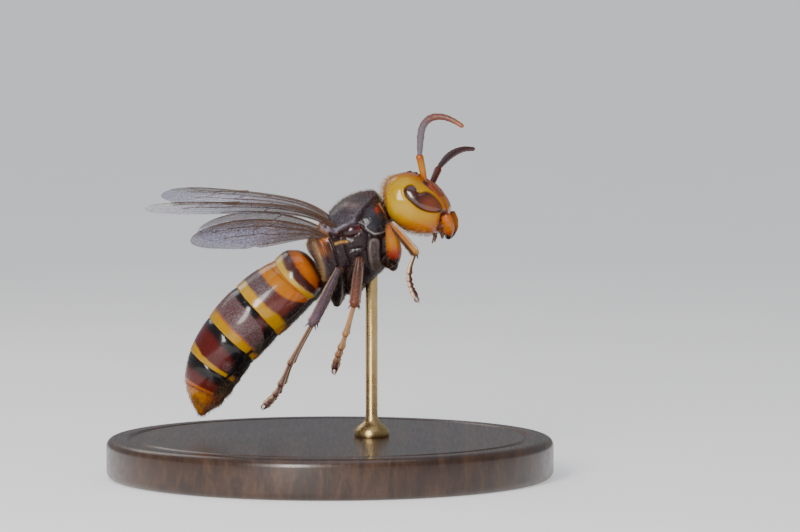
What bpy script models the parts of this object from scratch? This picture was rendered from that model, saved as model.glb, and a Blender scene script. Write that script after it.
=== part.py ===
"""A life-size display model of an asian giant hornet in flight, held over a round base by one rod.

Sizes and places are in millimetres and degrees, and the meshes are written in metres. The hornet
faces +X, its right side faces -Y, +Z is up, and the origin is the middle of the base's underside.
A place given as (x, z) lies in the plane that parts the body into its right and left halves.
"""

from math import ceil, cos, pi, radians, sin

import bmesh
import bpy
from mathutils import Matrix, Vector

MM = 0.001
GAP = 0.3              # clear space between two nodes that meet face to face
RIGHT = -1.0           # side of the body that faces -Y
LEFT = 1.0
SIDES = ((RIGHT, "right"), (LEFT, "left"))

# How finely the surfaces are divided
BODY_POINTS = 28       # points round each cut of the thorax and of the gaster
HEAD_POINTS = 32
HEAD_SLICES = 15
EYE_POINTS = 24
JAW_POINTS = 14
LIMB_POINTS = 11
FOOT_POINTS = 10
CLAW_POINTS = 8
ROD_POINTS = 20
BASE_POINTS = 56
SHARP = 35.0           # edges that turn more than this are shaded as creases
WING_SHARP = 60.0
WELD = 0.03            # points of a Boolean that lie nearer than this become one

# Stand
BASE_RADIUS = 28.0
BASE_HEIGHT = 5.0
BASE_EDGE = 1.0
ROD_RADIUS = 0.75
ROD_X = 5.2
ROD_TOP = 27.0
COLLAR_RADIUS = 2.2
COLLAR_HEIGHT = 2.0

# Thorax: cuts through the body from the neck to the waist, as (top, bottom, half width, boxiness)
THORAX = (
    ((6.7, 34.2), (7.3, 30.5), 1.9, 2.0),
    ((6.1, 35.2), (7.4, 28.4), 3.4, 2.1),
    ((5.1, 35.7), (7.0, 26.5), 4.2, 2.2),
    ((3.8, 35.5), (6.1, 25.5), 4.6, 2.3),
    ((2.4, 35.0), (5.1, 24.5), 4.75, 2.4),
    ((1.0, 34.1), (4.0, 23.5), 4.6, 2.4),
    ((-0.1, 33.0), (2.8, 22.9), 4.3, 2.4),
    ((-1.3, 31.7), (1.6, 22.9), 3.9, 2.3),
    ((-2.3, 30.2), (0.6, 23.2), 3.3, 2.2),
    ((-2.65, 28.65), (0.0, 23.5), 2.4, 2.1),
    ((-0.7, 25.95), (-0.2, 24.0), 1.1, 2.0),
)
THORAX_NODES = (("pronotum", 0, 2), ("mesothorax", 2, 5.9), ("scutellum", 5.9, 7.2), ("propodeum", 7.2, 10))

# Gaster: the cut at the front of each ring and the last one at the sting, as for the thorax
GASTER = (
    ((-1.2, 26.0), (-0.5, 24.1), 1.1, 2.0),
    ((-7.4, 26.8), (-1.9, 22.1), 4.0, 2.1),
    ((-11.6, 23.8), (-6.5, 17.8), 4.6, 2.1),
    ((-15.1, 19.9), (-9.8, 14.5), 4.4, 2.1),
    ((-17.4, 15.8), (-12.0, 11.4), 3.7, 2.1),
    ((-18.0, 12.0), (-13.2, 9.9), 2.7, 2.0),
    ((-16.5, 7.9), (-15.9, 7.7), 0.35, 2.0),
)
SHOULDER = (((-3.0, 28.0), (-0.9, 23.4), 2.9, 2.1), ((-4.9, 28.3), (-1.2, 22.8), 3.6, 2.1))
RING_SWELL = 0.22      # how far the middle of a ring stands out past a straight line to the next
RING_LIP = 0.16        # how far the hind rim of a ring stands out past the front of the next
STING_BASE = ((-17.4, 9.6), (-14.7, 8.6), 1.5, 2.0)
RING_FINISHES = ("band", "band", "band", "dark", "dark", "orange")

# Head: its outline from the side, round from the crown, and how far it reaches to either side
HEAD_OUTLINE = (
    (8.7, 38.05), (10.4, 38.2), (11.9, 37.5), (13.2, 36.6), (14.4, 35.2), (15.0, 33.7), (14.6, 32.2),
    (13.6, 30.8), (12.2, 30.4), (10.3, 30.7), (8.9, 31.4), (7.7, 32.6), (7.0, 34.2), (6.8, 35.9), (7.4, 37.3),
)
HEAD_HALF_WIDTH = 4.3
HEAD_BOXINESS = 2.7
CHEEK = (9.6, 34.3)    # where the sides of the head stand out most
HEAD_TURN = -8.0       # the face looks a little to the right
NECK = (6.8, 33.5)

# Eye: its kidney outline from the side, in the head before it turns
EYE_OUTLINE = (
    (10.12, 36.5), (9.88, 36.1), (10.08, 35.4), (10.75, 34.7), (11.6, 34.0), (12.5, 33.55), (13.4, 33.38),
    (14.1, 33.42), (14.35, 33.7), (14.2, 34.3), (13.75, 34.95), (13.15, 35.55), (12.5, 35.85), (11.9, 35.7),
    (11.45, 35.9), (11.15, 36.45), (10.65, 36.7),
)
EYE_FLOOR = 2.3        # how far from the middle plane the eye's inner face lies
EYE_REACH = 6.0        # farther out than any part of the eye
EYE_BULGE = 0.3

# Mandible: (x, side, z) of its middle, with its half breadth and half thickness
MANDIBLE = (
    (14.75, 2.5, 33.2, 0.5, 0.45), (14.95, 2.45, 32.6, 0.66, 0.55), (15.1, 2.2, 31.9, 0.74, 0.6),
    (15.15, 1.75, 31.15, 0.68, 0.52), (15.05, 1.15, 30.5, 0.5, 0.4), (14.9, 0.6, 29.95, 0.28, 0.24),
)

# Feelers: the way of each from its socket, as (x, y, z)
FEELERS = {
    "right": (
        ((12.0, -1.2, 35.4), (11.6, -1.8, 38.2), (11.2, -2.3, 40.1)),
        ((11.2, -2.4, 40.5), (11.3, -2.8, 42.6), (11.6, -3.3, 44.0), (12.5, -3.9, 45.0),
         (13.9, -4.4, 45.2), (15.2, -4.8, 44.8), (16.4, -5.1, 44.1)),
    ),
    "left": (
        ((12.3, 1.2, 35.6), (13.0, 2.4, 37.2), (13.5, 3.4, 38.3)),
        ((13.7, 3.7, 38.7), (14.6, 4.8, 39.7), (15.6, 5.8, 40.4), (16.8, 6.7, 40.8), (18.0, 7.4, 40.8)),
    ),
}
SCAPE_RADIUS = 0.45
SCAPE_ROOT = 0.75      # width of the scape at its socket, as a share of its width above
FLAGELLUM_RADIUS = 0.44
FIRST_WIDTH = 0.8      # width of the flagellum at its first ring, as a share of its width beyond
TAPER_FROM = 0.75      # share of its length at which it starts to narrow
TIP_NARROWS = 0.36

# Legs of the right side: hip, thigh, shin and foot, each as (x, distance out, z, radius) down its length
LEGS = {
    "fore": (
        ((6.0, 1.5, 28.2, 0.9), (7.2, 2.7, 27.2, 0.85), (8.0, 3.8, 26.7, 0.6)),
        ((7.9, 3.5, 26.5, 0.5), (8.0, 4.2, 28.3, 0.9), (7.8, 4.9, 30.1, 0.8), (7.5, 5.6, 31.6, 0.5)),
        ((7.7, 5.8, 31.9, 0.4), (9.0, 5.7, 30.4, 0.5), (10.6, 5.4, 28.5, 0.55)),
        ((10.5, 5.2, 28.0, 0.36), (10.0, 5.0, 26.5, 0.35), (9.9, 4.8, 25.2, 0.36), (10.2, 4.6, 23.9, 0.36),
         (10.7, 4.4, 22.8, 0.34)),
    ),
    "mid": (
        ((3.7, 1.4, 25.0, 0.9), (3.3, 2.9, 24.0, 0.85), (3.05, 4.0, 23.5, 0.6)),
        ((3.0, 3.6, 23.2, 0.5), (3.1, 4.9, 24.5, 0.88), (3.4, 6.1, 26.1, 0.78), (3.8, 7.0, 27.4, 0.5)),
        ((3.7, 7.3, 27.7, 0.4), (3.5, 7.2, 25.4, 0.6), (3.1, 6.9, 22.2, 0.6)),
        ((2.9, 6.8, 21.6, 0.38), (2.0, 6.5, 18.4, 0.38), (1.4, 6.3, 16.6, 0.42), (0.9, 6.1, 15.2, 0.42),
         (0.65, 5.9, 14.0, 0.42)),
    ),
    "hind": (
        ((1.3, 1.4, 24.2, 0.9), (1.0, 3.0, 22.9, 0.88), (0.9, 4.2, 22.4, 0.62)),
        ((0.9, 3.7, 22.1, 0.52), (0.8, 5.1, 23.5, 0.92), (1.0, 6.6, 25.1, 0.82), (1.2, 7.7, 26.3, 0.5)),
        ((1.1, 8.1, 26.4, 0.4), (-0.3, 8.1, 23.4, 0.6), (-2.1, 7.9, 19.9, 0.55)),
        ((-2.4, 7.8, 19.3, 0.38), (-4.8, 7.6, 14.9, 0.38), (-5.9, 7.4, 12.4, 0.42), (-6.9, 7.2, 10.6, 0.42),
         (-7.9, 7.0, 9.6, 0.44)),
    ),
}
FAR_LEG_DROP = 0.12    # the left legs hang lower than the right by this share of their distance out
CLAW_LENGTH = 1.1
CLAW_RADIUS = 0.26
CLAW_SPREAD = 38.0
CLAW_HOOK = Vector((0.35, 0.0, -0.2))   # way in which the tips bend off the line of the foot

# Wings: root, tip direction, lean of the trailing edge, length, breadth and place of the broadest part, how far the
# front edge bows forward and how far back the tip lies as shares of the breadth, and how late that edge rounds
WINGS = {
    "forewing": dict(root=(0.3, 3.8, 31.6), along=(-20.3, 18.4, 1.5), back=(-0.64, -0.74, -0.22), length=27.4,
                     breadth=7.6, widest=0.66, stalk=1.2, bow=0.09, tip=0.32, late=4.0, rows=22, lift=2.3,
                     camber=0.4),
    "hindwing": dict(root=(-0.6, 3.6, 30.2), along=(-15.3, 8.1, 1.1), back=(-0.38, -0.66, -0.62), length=17.3,
                     breadth=6.2, widest=0.55, stalk=1.0, bow=0.22, tip=0.5, late=2.6, rows=16, lift=0.8,
                     camber=0.3),
}
LIFT_SPEED = 7.0       # how near its root a wing makes its rise
MEMBRANE = 0.5         # whole thickness between the veins
VEIN = 0.85            # whole thickness on a vein
WING_EDGE = 0.3        # thickness at the rim
VEIN_SLOPE = 0.028     # share of the breadth over which a vein rises from the membrane
FIRST_ROW = 0.012      # shares of the length at which the rows of a wing start and end
LAST_ROW = 0.996
CROWDING = 1.3         # how much closer the rows lie towards the tip
# Where the lengthwise veins lie across the wing, from 0 at the front, and how far out they run
LONG_VEINS = ((0.07, 0.97), (0.36, 0.86), (0.62, 0.74), (0.88, 0.5))
# Cross veins as (distance out, first lengthwise vein, second)
CROSS_VEINS = ((0.42, 0, 1), (0.52, 1, 2), (0.62, 0, 1), (0.7, 1, 2), (0.8, 0, 1))

# Tegula: the small scale over the wing root, with its half length, half thickness and half height
TEGULA = ((2.85, 4.6, 31.1), (1.15, 0.5, 0.75))
TEGULA_TURN = -20.0

COLOURS = {            # base colour, roughness, metallic
    "orange": ((0.80, 0.36, 0.03), 0.35, 0.0),
    "eye": ((0.06, 0.015, 0.01), 0.2, 0.0),
    "dark": ((0.035, 0.02, 0.018), 0.4, 0.0),
    "brown": ((0.13, 0.055, 0.02), 0.4, 0.0),
    "band": ((0.30, 0.13, 0.04), 0.3, 0.0),
    "wing": ((0.30, 0.20, 0.12), 0.3, 0.0),
    "wood": ((0.09, 0.045, 0.022), 0.45, 0.0),
    "brass": ((0.62, 0.45, 0.20), 0.3, 1.0),
}


def clear_scene():
    for item in list(bpy.data.objects):
        bpy.data.objects.remove(item, do_unlink=True)


def material(name):
    """The finish of this name, made once and shared."""
    found = bpy.data.materials.get(name)
    if found:
        return found
    colour, roughness, metallic = COLOURS[name]
    made = bpy.data.materials.new(name)
    made.use_nodes = True
    shader = made.node_tree.nodes["Principled BSDF"]
    shader.inputs["Base Color"].default_value = (*colour, 1.0)
    shader.inputs["Roughness"].default_value = roughness
    shader.inputs["Metallic"].default_value = metallic
    return made


def solid(name, points, faces, finish, sharp=SHARP):
    """A smooth-shaded object of points in millimetres, with its faces turned outwards."""
    mesh = bpy.data.meshes.new(name)
    mesh.from_pydata([tuple(c * MM for c in p) for p in points], [], faces)
    work = bmesh.new()
    work.from_mesh(mesh)
    bmesh.ops.recalc_face_normals(work, faces=work.faces)
    work.to_mesh(mesh)
    work.free()
    mesh.materials.append(material(finish))
    mesh.shade_smooth()
    mesh.set_sharp_from_angle(angle=radians(sharp))
    item = bpy.data.objects.new(name, mesh)
    bpy.context.scene.collection.objects.link(item)
    return item


def loft(rings):
    """Points and faces of a closed skin over rings of equal count, each end filled."""
    count = len(rings[0])
    points = [p for ring in rings for p in ring]
    faces = []
    for row in range(len(rings) - 1):
        for i in range(count):
            j = (i + 1) % count
            faces.append((row * count + i, row * count + j, (row + 1) * count + j, (row + 1) * count + i))
    faces.append(tuple(range(count - 1, -1, -1)))
    faces.append(tuple(range((len(rings) - 1) * count, len(rings) * count)))
    return points, faces


def smooth_step(values, t):
    """A smooth curve through equally spaced values (tuples of numbers), read at t steps along."""
    last = len(values) - 1
    i = min(int(t), last - 1)
    f = t - i
    before = values[max(i - 1, 0)]
    after = values[min(i + 2, last)]
    out = []
    for p0, p1, p2, p3 in zip(before, values[i], values[i + 1], after):
        bend = 2 * p0 - 5 * p1 + 4 * p2 - p3
        twist = 3 * p1 - p0 - 3 * p2 + p3
        out.append(0.5 * (2 * p1 + (p2 - p0) * f + bend * f * f + twist * f ** 3))
    return tuple(out)


def flat(cut):
    """A cut as six plain numbers."""
    (tx, tz), (bx, bz), half_width, boxiness = cut
    return tx, tz, bx, bz, half_width, boxiness


def cut_normal(cut):
    """The unit direction along the body, towards its hind end, at right angles to the cut."""
    tx, tz, bx, bz = cut[:4]
    across = Vector((tx - bx, 0.0, tz - bz)).normalized()
    return Vector((-across.z, 0.0, across.x))


def cut_ring(cut, count, shift=0.0, grow=0.0):
    """The ring of points round a cut, moved along the body by shift and grown all round by grow."""
    tx, tz, bx, bz, half_width, boxiness = cut
    top = Vector((tx, 0.0, tz))
    bottom = Vector((bx, 0.0, bz))
    up = (top - bottom) / 2
    middle = (top + bottom) / 2 + cut_normal(cut) * shift
    up = up.normalized() * (up.length + grow)
    ring = []
    for i in range(count):
        angle = 2 * pi * i / count
        c = cos(angle)
        s = sin(angle)
        reach = (abs(c) ** boxiness + abs(s) ** boxiness) ** (-1 / boxiness)
        ring.append(middle + up * c * reach + Vector((0.0, (half_width + grow) * s * reach, 0.0)))
    return ring


def thorax_rings(first, last, step=0.5, grow=0.0, gap=GAP):
    """Rings of the thorax between two places along it, drawn in by half a gap at each end."""
    cuts = [flat(c) for c in THORAX]
    number = max(2, ceil((last - first) / step))
    rings = []
    for i in range(number + 1):
        cut = smooth_step(cuts, first + (last - first) * i / number)
        shift = 0.0
        if i == 0:
            shift = gap / 2
        if i == number:
            shift = -gap / 2
        rings.append(cut_ring(cut, BODY_POINTS, shift, grow))
    return rings


def make_thorax():
    return {name: solid(name, *loft(thorax_rings(first, last)), "dark") for name, first, last in THORAX_NODES}


def blend(cut_a, cut_b, t, swell=0.0):
    """A cut part of the way from one to the other, swelled all round by swell."""
    mixed = [a + (b - a) * t for a, b in zip(cut_a, cut_b)]
    up = Vector((mixed[0] - mixed[2], mixed[1] - mixed[3])).normalized() * swell
    return (mixed[0] + up.x, mixed[1] + up.y, mixed[2] - up.x, mixed[3] - up.y, mixed[4] + swell, mixed[5])


def make_gaster():
    """The six visible rings of the gaster, each a little wider at its hind rim than the next one."""
    cuts = [flat(c) for c in GASTER]
    count = BODY_POINTS
    for i in range(len(cuts) - 1):
        front, back = cuts[i], cuts[i + 1]
        rings = [cut_ring(front, count, GAP / 2)]
        if i == 0:
            shoulder = [flat(c) for c in SHOULDER]
            rings += [cut_ring(c, count) for c in shoulder]
            front = shoulder[-1]
            steps = (0.35, 0.7)
        elif i == len(cuts) - 2:
            sting_base = flat(STING_BASE)
            rings += [cut_ring(blend(front, sting_base, t, RING_SWELL * sin(pi * t)), count) for t in (0.3, 0.65)]
            rings.append(cut_ring(sting_base, count))
            steps = ()
        else:
            steps = (0.15, 0.4, 0.7)
        for t in steps:
            rings.append(cut_ring(blend(front, back, t, RING_SWELL * sin(pi * t) + RING_LIP * t), count))
        lip = RING_LIP if i < len(cuts) - 2 else 0.0
        rings.append(cut_ring(blend(back, back, 0.0, lip), count, -GAP / 2))
        solid("gaster_%d" % (i + 1), *loft(rings), RING_FINISHES[i])


def closed_curve(points, count):
    """Points spread along a smooth closed curve through the given ones."""
    number = len(points)
    ring = []
    for i in range(count):
        t = number * i / count
        k = int(t)
        around = [points[(k + d) % number] for d in (-1, 0, 1, 2)]
        ring.append(smooth_step(around, 1 + t - k))
    return ring


def turn_head(p):
    """A point of the straight head, turned with the head about the neck."""
    angle = radians(HEAD_TURN)
    x = p[0] - NECK[0]
    return Vector((NECK[0] + x * cos(angle) - p[1] * sin(angle), x * sin(angle) + p[1] * cos(angle), p[2]))


def head_rings(grow=0.0):
    """Upright slices of the head from its left cheek to its right, grown all round by grow."""
    outline = closed_curve(HEAD_OUTLINE, HEAD_POINTS)
    reach = HEAD_HALF_WIDTH + grow
    rings = []
    for i in range(HEAD_SLICES):
        turn = pi * (i + 0.55) / (HEAD_SLICES + 0.1) - pi / 2
        y = reach * sin(turn)
        size = (1 - abs(y / reach) ** HEAD_BOXINESS) ** (1 / HEAD_BOXINESS)
        ring = []
        for x, z in outline:
            away = Vector((x - CHEEK[0], z - CHEEK[1]))
            away = away.normalized() * (away.length + grow) * size
            ring.append(turn_head((CHEEK[0] + away.x, y, CHEEK[1] + away.y)))
        rings.append(ring)
    return rings


def grown_outline(outline, grow):
    """A closed outline moved out square to itself."""
    number = len(outline)
    area = sum(outline[i][0] * outline[(i + 1) % number][1] - outline[(i + 1) % number][0] * outline[i][1]
               for i in range(number))
    turn = 1.0 if area > 0 else -1.0
    out = []
    for i, (x, z) in enumerate(outline):
        ahead = outline[(i + 1) % number]
        behind = outline[i - 1]
        along = Vector((ahead[0] - behind[0], ahead[1] - behind[1])).normalized()
        out.append((x + along.y * grow * turn, z - along.x * grow * turn))
    return out


def prism(name, outline, near, far):
    """A temporary prism of a side-view outline, from one distance out to another, in the turned head."""
    rings = [[turn_head((x, y, z)) for x, z in outline] for y in (near, far)]
    return solid(name, *loft(rings), "eye")


def boolean(target, tool, operation, solver="EXACT"):
    """Apply one Boolean of a tool, which is then removed."""
    change = target.modifiers.new("cut", "BOOLEAN")
    change.operation = operation
    change.object = tool
    change.solver = solver
    settle(target)
    bpy.data.objects.remove(tool, do_unlink=True)


def settle(item):
    """Apply the modifiers, weld what meets and keep the largest closed surface."""
    graph = bpy.context.evaluated_depsgraph_get()
    made = bpy.data.meshes.new_from_object(item.evaluated_get(graph))
    item.modifiers.clear()
    old = item.data
    item.data = made
    bpy.data.meshes.remove(old)
    work = bmesh.new()
    work.from_mesh(made)
    bmesh.ops.remove_doubles(work, verts=work.verts, dist=WELD * MM)
    bmesh.ops.dissolve_degenerate(work, edges=work.edges, dist=WELD / 3 * MM)
    keep_largest(work)
    bmesh.ops.triangulate(work, faces=[f for f in work.faces if len(f.verts) > 4])
    work.to_mesh(made)
    work.free()
    made.shade_smooth()
    made.set_sharp_from_angle(angle=radians(SHARP))


def keep_largest(work):
    """Delete every surface of a mesh but the one that spans the most."""
    left = set(work.faces)
    shells = []
    while left:
        shell = set()
        edge_of = [left.pop()]
        while edge_of:
            face = edge_of.pop()
            shell.add(face)
            for edge in face.edges:
                for other in edge.link_faces:
                    if other in left:
                        left.discard(other)
                        edge_of.append(other)
        shells.append(shell)
    shells.sort(key=lambda shell: sum(f.calc_area() for f in shell))
    spare = [f for shell in shells[:-1] for f in shell]
    if spare:
        bmesh.ops.delete(work, geom=spare, context="FACES")


def unite(name, pieces, finish):
    """Join overlapping closed pieces into one node with one Boolean."""
    group = bpy.data.collections.new(name + "_pieces")
    bpy.context.scene.collection.children.link(group)
    node = pieces[0]
    for piece in pieces[1:]:
        bpy.context.scene.collection.objects.unlink(piece)
        group.objects.link(piece)
    change = node.modifiers.new("join", "BOOLEAN")
    change.operation = "UNION"
    change.operand_type = "COLLECTION"
    change.collection = group
    change.solver = "EXACT"
    settle(node)
    for piece in pieces[1:]:
        bpy.data.objects.remove(piece, do_unlink=True)
    bpy.data.collections.remove(group)
    node.name = name
    node.data.name = name
    node.data.materials.clear()
    node.data.materials.append(material(finish))
    return node


def make_head():
    """The head with a pocket for each eye, and the eyes that fill them."""
    head = solid("head", *loft(head_rings()), "orange")
    outline = closed_curve(EYE_OUTLINE, EYE_POINTS)
    for side, word in SIDES:
        eye = solid("eye_" + word, *loft(head_rings(EYE_BULGE)), "eye")
        boolean(eye, prism("eye_shape", outline, side * EYE_FLOOR, side * EYE_REACH), "INTERSECT")
        pocket = prism("pocket", grown_outline(outline, GAP), side * (EYE_FLOOR - GAP), side * EYE_REACH)
        boolean(head, pocket, "DIFFERENCE")
    for side, word in SIDES:
        rings = []
        for i, (x, out, z, breadth, thickness) in enumerate(MANDIBLE):
            ahead = MANDIBLE[min(i + 1, len(MANDIBLE) - 1)]
            behind = MANDIBLE[max(i - 1, 0)]
            along = Vector((ahead[0] - behind[0], side * (ahead[1] - behind[1]), ahead[2] - behind[2]))
            rings.append(oval_ring(Vector((x, side * out, z)), along, Vector((1, side * 0.3, 0)),
                                   breadth, thickness, JAW_POINTS))
        rings = [[turn_head(p) for p in ring] for ring in rings]
        jaw = solid("mandible_" + word, *loft(rings), "orange")
        carve(jaw, solid("grown", *loft(head_rings(GAP)), "orange"))
    return head


def oval_ring(middle, along, wide, breadth, thickness, count):
    """An oval ring round a middle point, square to a direction, broad towards wide."""
    along = along.normalized()
    wide = (wide - along * wide.dot(along)).normalized()
    thin = along.cross(wide)
    return [middle + wide * breadth * cos(2 * pi * i / count) + thin * thickness * sin(2 * pi * i / count)
            for i in range(count)]


def carve(item, grown):
    """Cut an item back from a neighbour's grown copy, so that the two meet with the gap between."""
    boolean(item, grown, "DIFFERENCE")


def tube(name, stations, finish, count=LIMB_POINTS, steps=2, grow=0.0):
    """A round tube along a smooth way through (x, y, z, radius) stations, grown all round by grow."""
    last = len(stations) - 1
    number = last * steps
    spots = [smooth_step(stations, last * i / number) for i in range(number + 1)]
    spots = [(*spot[:3], spot[3] + grow) for spot in spots]
    for end, inner in ((0, 1), (-1, -2)):
        outward = (Vector(spots[end][:3]) - Vector(spots[inner][:3])).normalized() * grow
        spots[end] = (*(Vector(spots[end][:3]) + outward), spots[end][3])
    rings = []
    side = None
    for i, spot in enumerate(spots):
        ahead = Vector(spots[min(i + 1, number)][:3])
        behind = Vector(spots[max(i - 1, 0)][:3])
        along = (ahead - behind).normalized()
        if side is None:
            side = along.orthogonal()
        side = (side - along * side.dot(along)).normalized()
        rings.append(oval_ring(Vector(spot[:3]), along, side, spot[3], spot[3], count))
    return solid(name, *loft(rings), finish)


def make_feelers():
    for word, (scape, flagellum) in FEELERS.items():
        widths = (SCAPE_RADIUS * SCAPE_ROOT, SCAPE_RADIUS, SCAPE_RADIUS)
        stations = [(*p, r) for p, r in zip(scape, widths)]
        piece = tube("antenna_%s_scape" % word, stations, "orange")
        carve(piece, solid("grown", *loft(head_rings(GAP)), "orange"))
        last = len(flagellum) - 1
        stations = []
        for i, p in enumerate(flagellum):
            narrowed = TIP_NARROWS * max(0.0, i / last - TAPER_FROM) / (1 - TAPER_FROM)
            taper = FIRST_WIDTH + (1 - FIRST_WIDTH) * min(1.0, 3 * i / last) - narrowed
            stations.append((*p, FLAGELLUM_RADIUS * taper))
        tube("antenna_%s_flagellum" % word, stations, "brown")


def leg_place(side, x, out, z, radius):
    """A station of a leg on one side of the body."""
    drop = FAR_LEG_DROP * out if side == LEFT else 0.0
    return (x, side * out, z - drop, radius)


def make_legs():
    """Hip and thigh in one node, then shin, then foot, each cut back from the one before it."""
    for pair, (hip, thigh, shin, foot) in LEGS.items():
        for side, word in SIDES:
            stem = "leg_%s_%s" % (pair, word)
            upper = [leg_place(side, *s) for s in thigh]
            pieces = [tube("thigh", upper, "dark", steps=3), tube("hip", [leg_place(side, *s) for s in hip], "dark")]
            femur = unite(stem + "_femur", pieces, "dark")
            carve(femur, solid("grown", *loft(thorax_rings(0, 10, grow=GAP, gap=-GAP)), "dark"))
            tibia = tube(stem + "_tibia", [leg_place(side, *s) for s in shin], "brown", steps=4)
            carve(tibia, tube("grown", upper, "dark", steps=3, grow=GAP))
            make_foot(stem + "_tarsus", [leg_place(side, *s) for s in foot])


def make_foot(name, stations):
    """The foot with its two spread claws, in one piece."""
    pieces = [tube(name, stations, "brown", count=FOOT_POINTS)]
    end = Vector(stations[-1][:3])
    along = (end - Vector(stations[-2][:3])).normalized()
    out = Vector((0.0, 1.0, 0.0))
    for turn in (-1.0, 1.0):
        spread = radians(CLAW_SPREAD) * turn
        way = along * cos(spread) + out * sin(spread)
        start = end - along * 0.35
        mid = start + way * CLAW_LENGTH * 0.65
        tip = mid + (along * 0.9 + CLAW_HOOK).normalized() * CLAW_LENGTH * 0.5
        stations = [(*start, CLAW_RADIUS * 0.8), (*mid, CLAW_RADIUS * 0.8), (*tip, CLAW_RADIUS * 0.3)]
        pieces.append(tube("claw", stations, "brown", count=CLAW_POINTS))
    return unite(name, pieces, "brown")


def wing_edges(u, wing):
    """How far the front and hind edges lie from the wing's long line at a share u of its length."""
    breadth, stalk, widest = wing["breadth"], wing["stalk"], wing["widest"]
    tip = wing["tip"] * breadth
    line = -0.5 * stalk - wing["bow"] * breadth * sin(pi * u)
    if u <= widest:
        return line, line + stalk + (breadth - stalk) * sin(pi / 2 * u / widest) ** 1.25
    fall = (u - widest) / (1 - widest)
    return (line + tip * (1 - (1 - fall ** wing["late"]) ** 0.5),
            line + tip + (breadth - tip) * (1 - fall ** 2.4) ** 0.5)


def wing_columns():
    """Shares across the wing from its front edge, each with the lengthwise vein whose crest it is, if any."""
    columns = [(0.0, None)]
    for number, (place, _) in enumerate(LONG_VEINS):
        columns += [(place - VEIN_SLOPE, None), (place, number), (place + VEIN_SLOPE, None)]
        if number + 1 < len(LONG_VEINS):
            columns.append(((place + LONG_VEINS[number + 1][0]) / 2, None))
    return columns + [(1.0, None)]


def wing_rows(rows):
    """Shares along the wing, each with the cross vein whose crest it is, if any."""
    shares = [FIRST_ROW + (LAST_ROW - FIRST_ROW) * (1 - (1 - i / (rows - 1)) ** CROWDING) for i in range(rows)]
    crests = {}
    for number, (place, _, _) in enumerate(CROSS_VEINS):
        crests[min(range(rows), key=lambda i: abs(shares[i] - place))] = number
    return [(u, crests.get(i)) for i, u in enumerate(shares)]


def on_vein(u, v, column_vein, row_vein):
    """Whether this point of the grid stands on the crest of a vein."""
    if column_vein is not None and u <= LONG_VEINS[column_vein][1]:
        return True
    if row_vein is None:
        return False
    _, first, second = CROSS_VEINS[row_vein]
    return LONG_VEINS[first][0] <= v <= LONG_VEINS[second][0]


def make_wing(name, wing, side):
    """A cambered wing whose veins are ridges raised in both faces of its own membrane."""
    along = Vector((wing["along"][0], side * wing["along"][1], wing["along"][2])).normalized()
    back = Vector((wing["back"][0], side * wing["back"][1], wing["back"][2]))
    back = (back - along * back.dot(along)).normalized()
    up = along.cross(back) * side
    if up.z < 0:
        up = -up
    root = Vector((wing["root"][0], side * wing["root"][1], wing["root"][2]))
    columns = wing_columns()
    faces_of = {1: [], -1: []}
    for u, row_vein in wing_rows(wing["rows"]):
        front, hind = wing_edges(u, wing)
        row = {1: [], -1: []}
        for v, column_vein in columns:
            thickness = VEIN if on_vein(u, v, column_vein, row_vein) else MEMBRANE
            if v in (0.0, 1.0):
                thickness = WING_EDGE
            middle = root + along * u * wing["length"] + back * (front + (hind - front) * v)
            rise = wing["lift"] * (1 - (1 - u) ** LIFT_SPEED)
            middle = middle + up * wing["camber"] * sin(pi * v) * sin(pi * u) + Vector((0.0, 0.0, rise))
            for face in (1, -1):
                row[face].append(middle + up * face * thickness / 2)
        for face in (1, -1):
            faces_of[face].append(row[face])
    rings = [top + bottom[::-1] for top, bottom in zip(faces_of[1], faces_of[-1])]
    points, faces = wing_skin(rings, len(columns))
    return solid(name, points, faces, "wing", sharp=WING_SHARP)


def wing_skin(rings, width):
    """Faces over wing rings, with the diagonals of the upper and lower faces laid alike."""
    count = 2 * width
    points = [p for ring in rings for p in ring]
    faces = []
    for row in range(len(rings) - 1):
        for i in range(count):
            j = (i + 1) % count
            a, b = row * count + i, row * count + j
            c, d = b + count, a + count
            if i in (width - 1, count - 1):
                faces.append((a, b, c, d))
            elif i < width:
                faces += [(a, b, c), (a, c, d)]
            else:
                faces += [(a, b, d), (b, c, d)]
    for row in (0, len(rings) - 1):
        for i in range(width - 1):
            top_a = row * count + i
            low_a = row * count + count - 1 - i
            faces.append((top_a, top_a + 1, low_a - 1, low_a))
    return points, faces


def make_wings():
    for kind, wing in WINGS.items():
        for side, word in SIDES:
            item = make_wing("%s_%s" % (kind, word), wing, side)
            carve(item, solid("grown", *loft(thorax_rings(0, 10, grow=GAP, gap=-GAP)), "dark"))


def make_tegulae():
    place, sizes = TEGULA
    for side, word in SIDES:
        bpy.ops.mesh.primitive_uv_sphere_add(segments=18, ring_count=10, radius=MM)
        item = bpy.context.object
        item.name = "tegula_" + word
        item.data.name = item.name
        item.data.transform(Matrix.Diagonal((*sizes, 1.0)))
        item.data.transform(Matrix.Rotation(radians(TEGULA_TURN), 4, "Y"))
        item.data.transform(Matrix.Translation(Vector((place[0], side * place[1], place[2])) * MM))
        item.data.materials.append(material("dark"))
        carve(item, solid("grown", *loft(thorax_rings(0, 10, grow=GAP, gap=-GAP)), "dark"))


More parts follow.
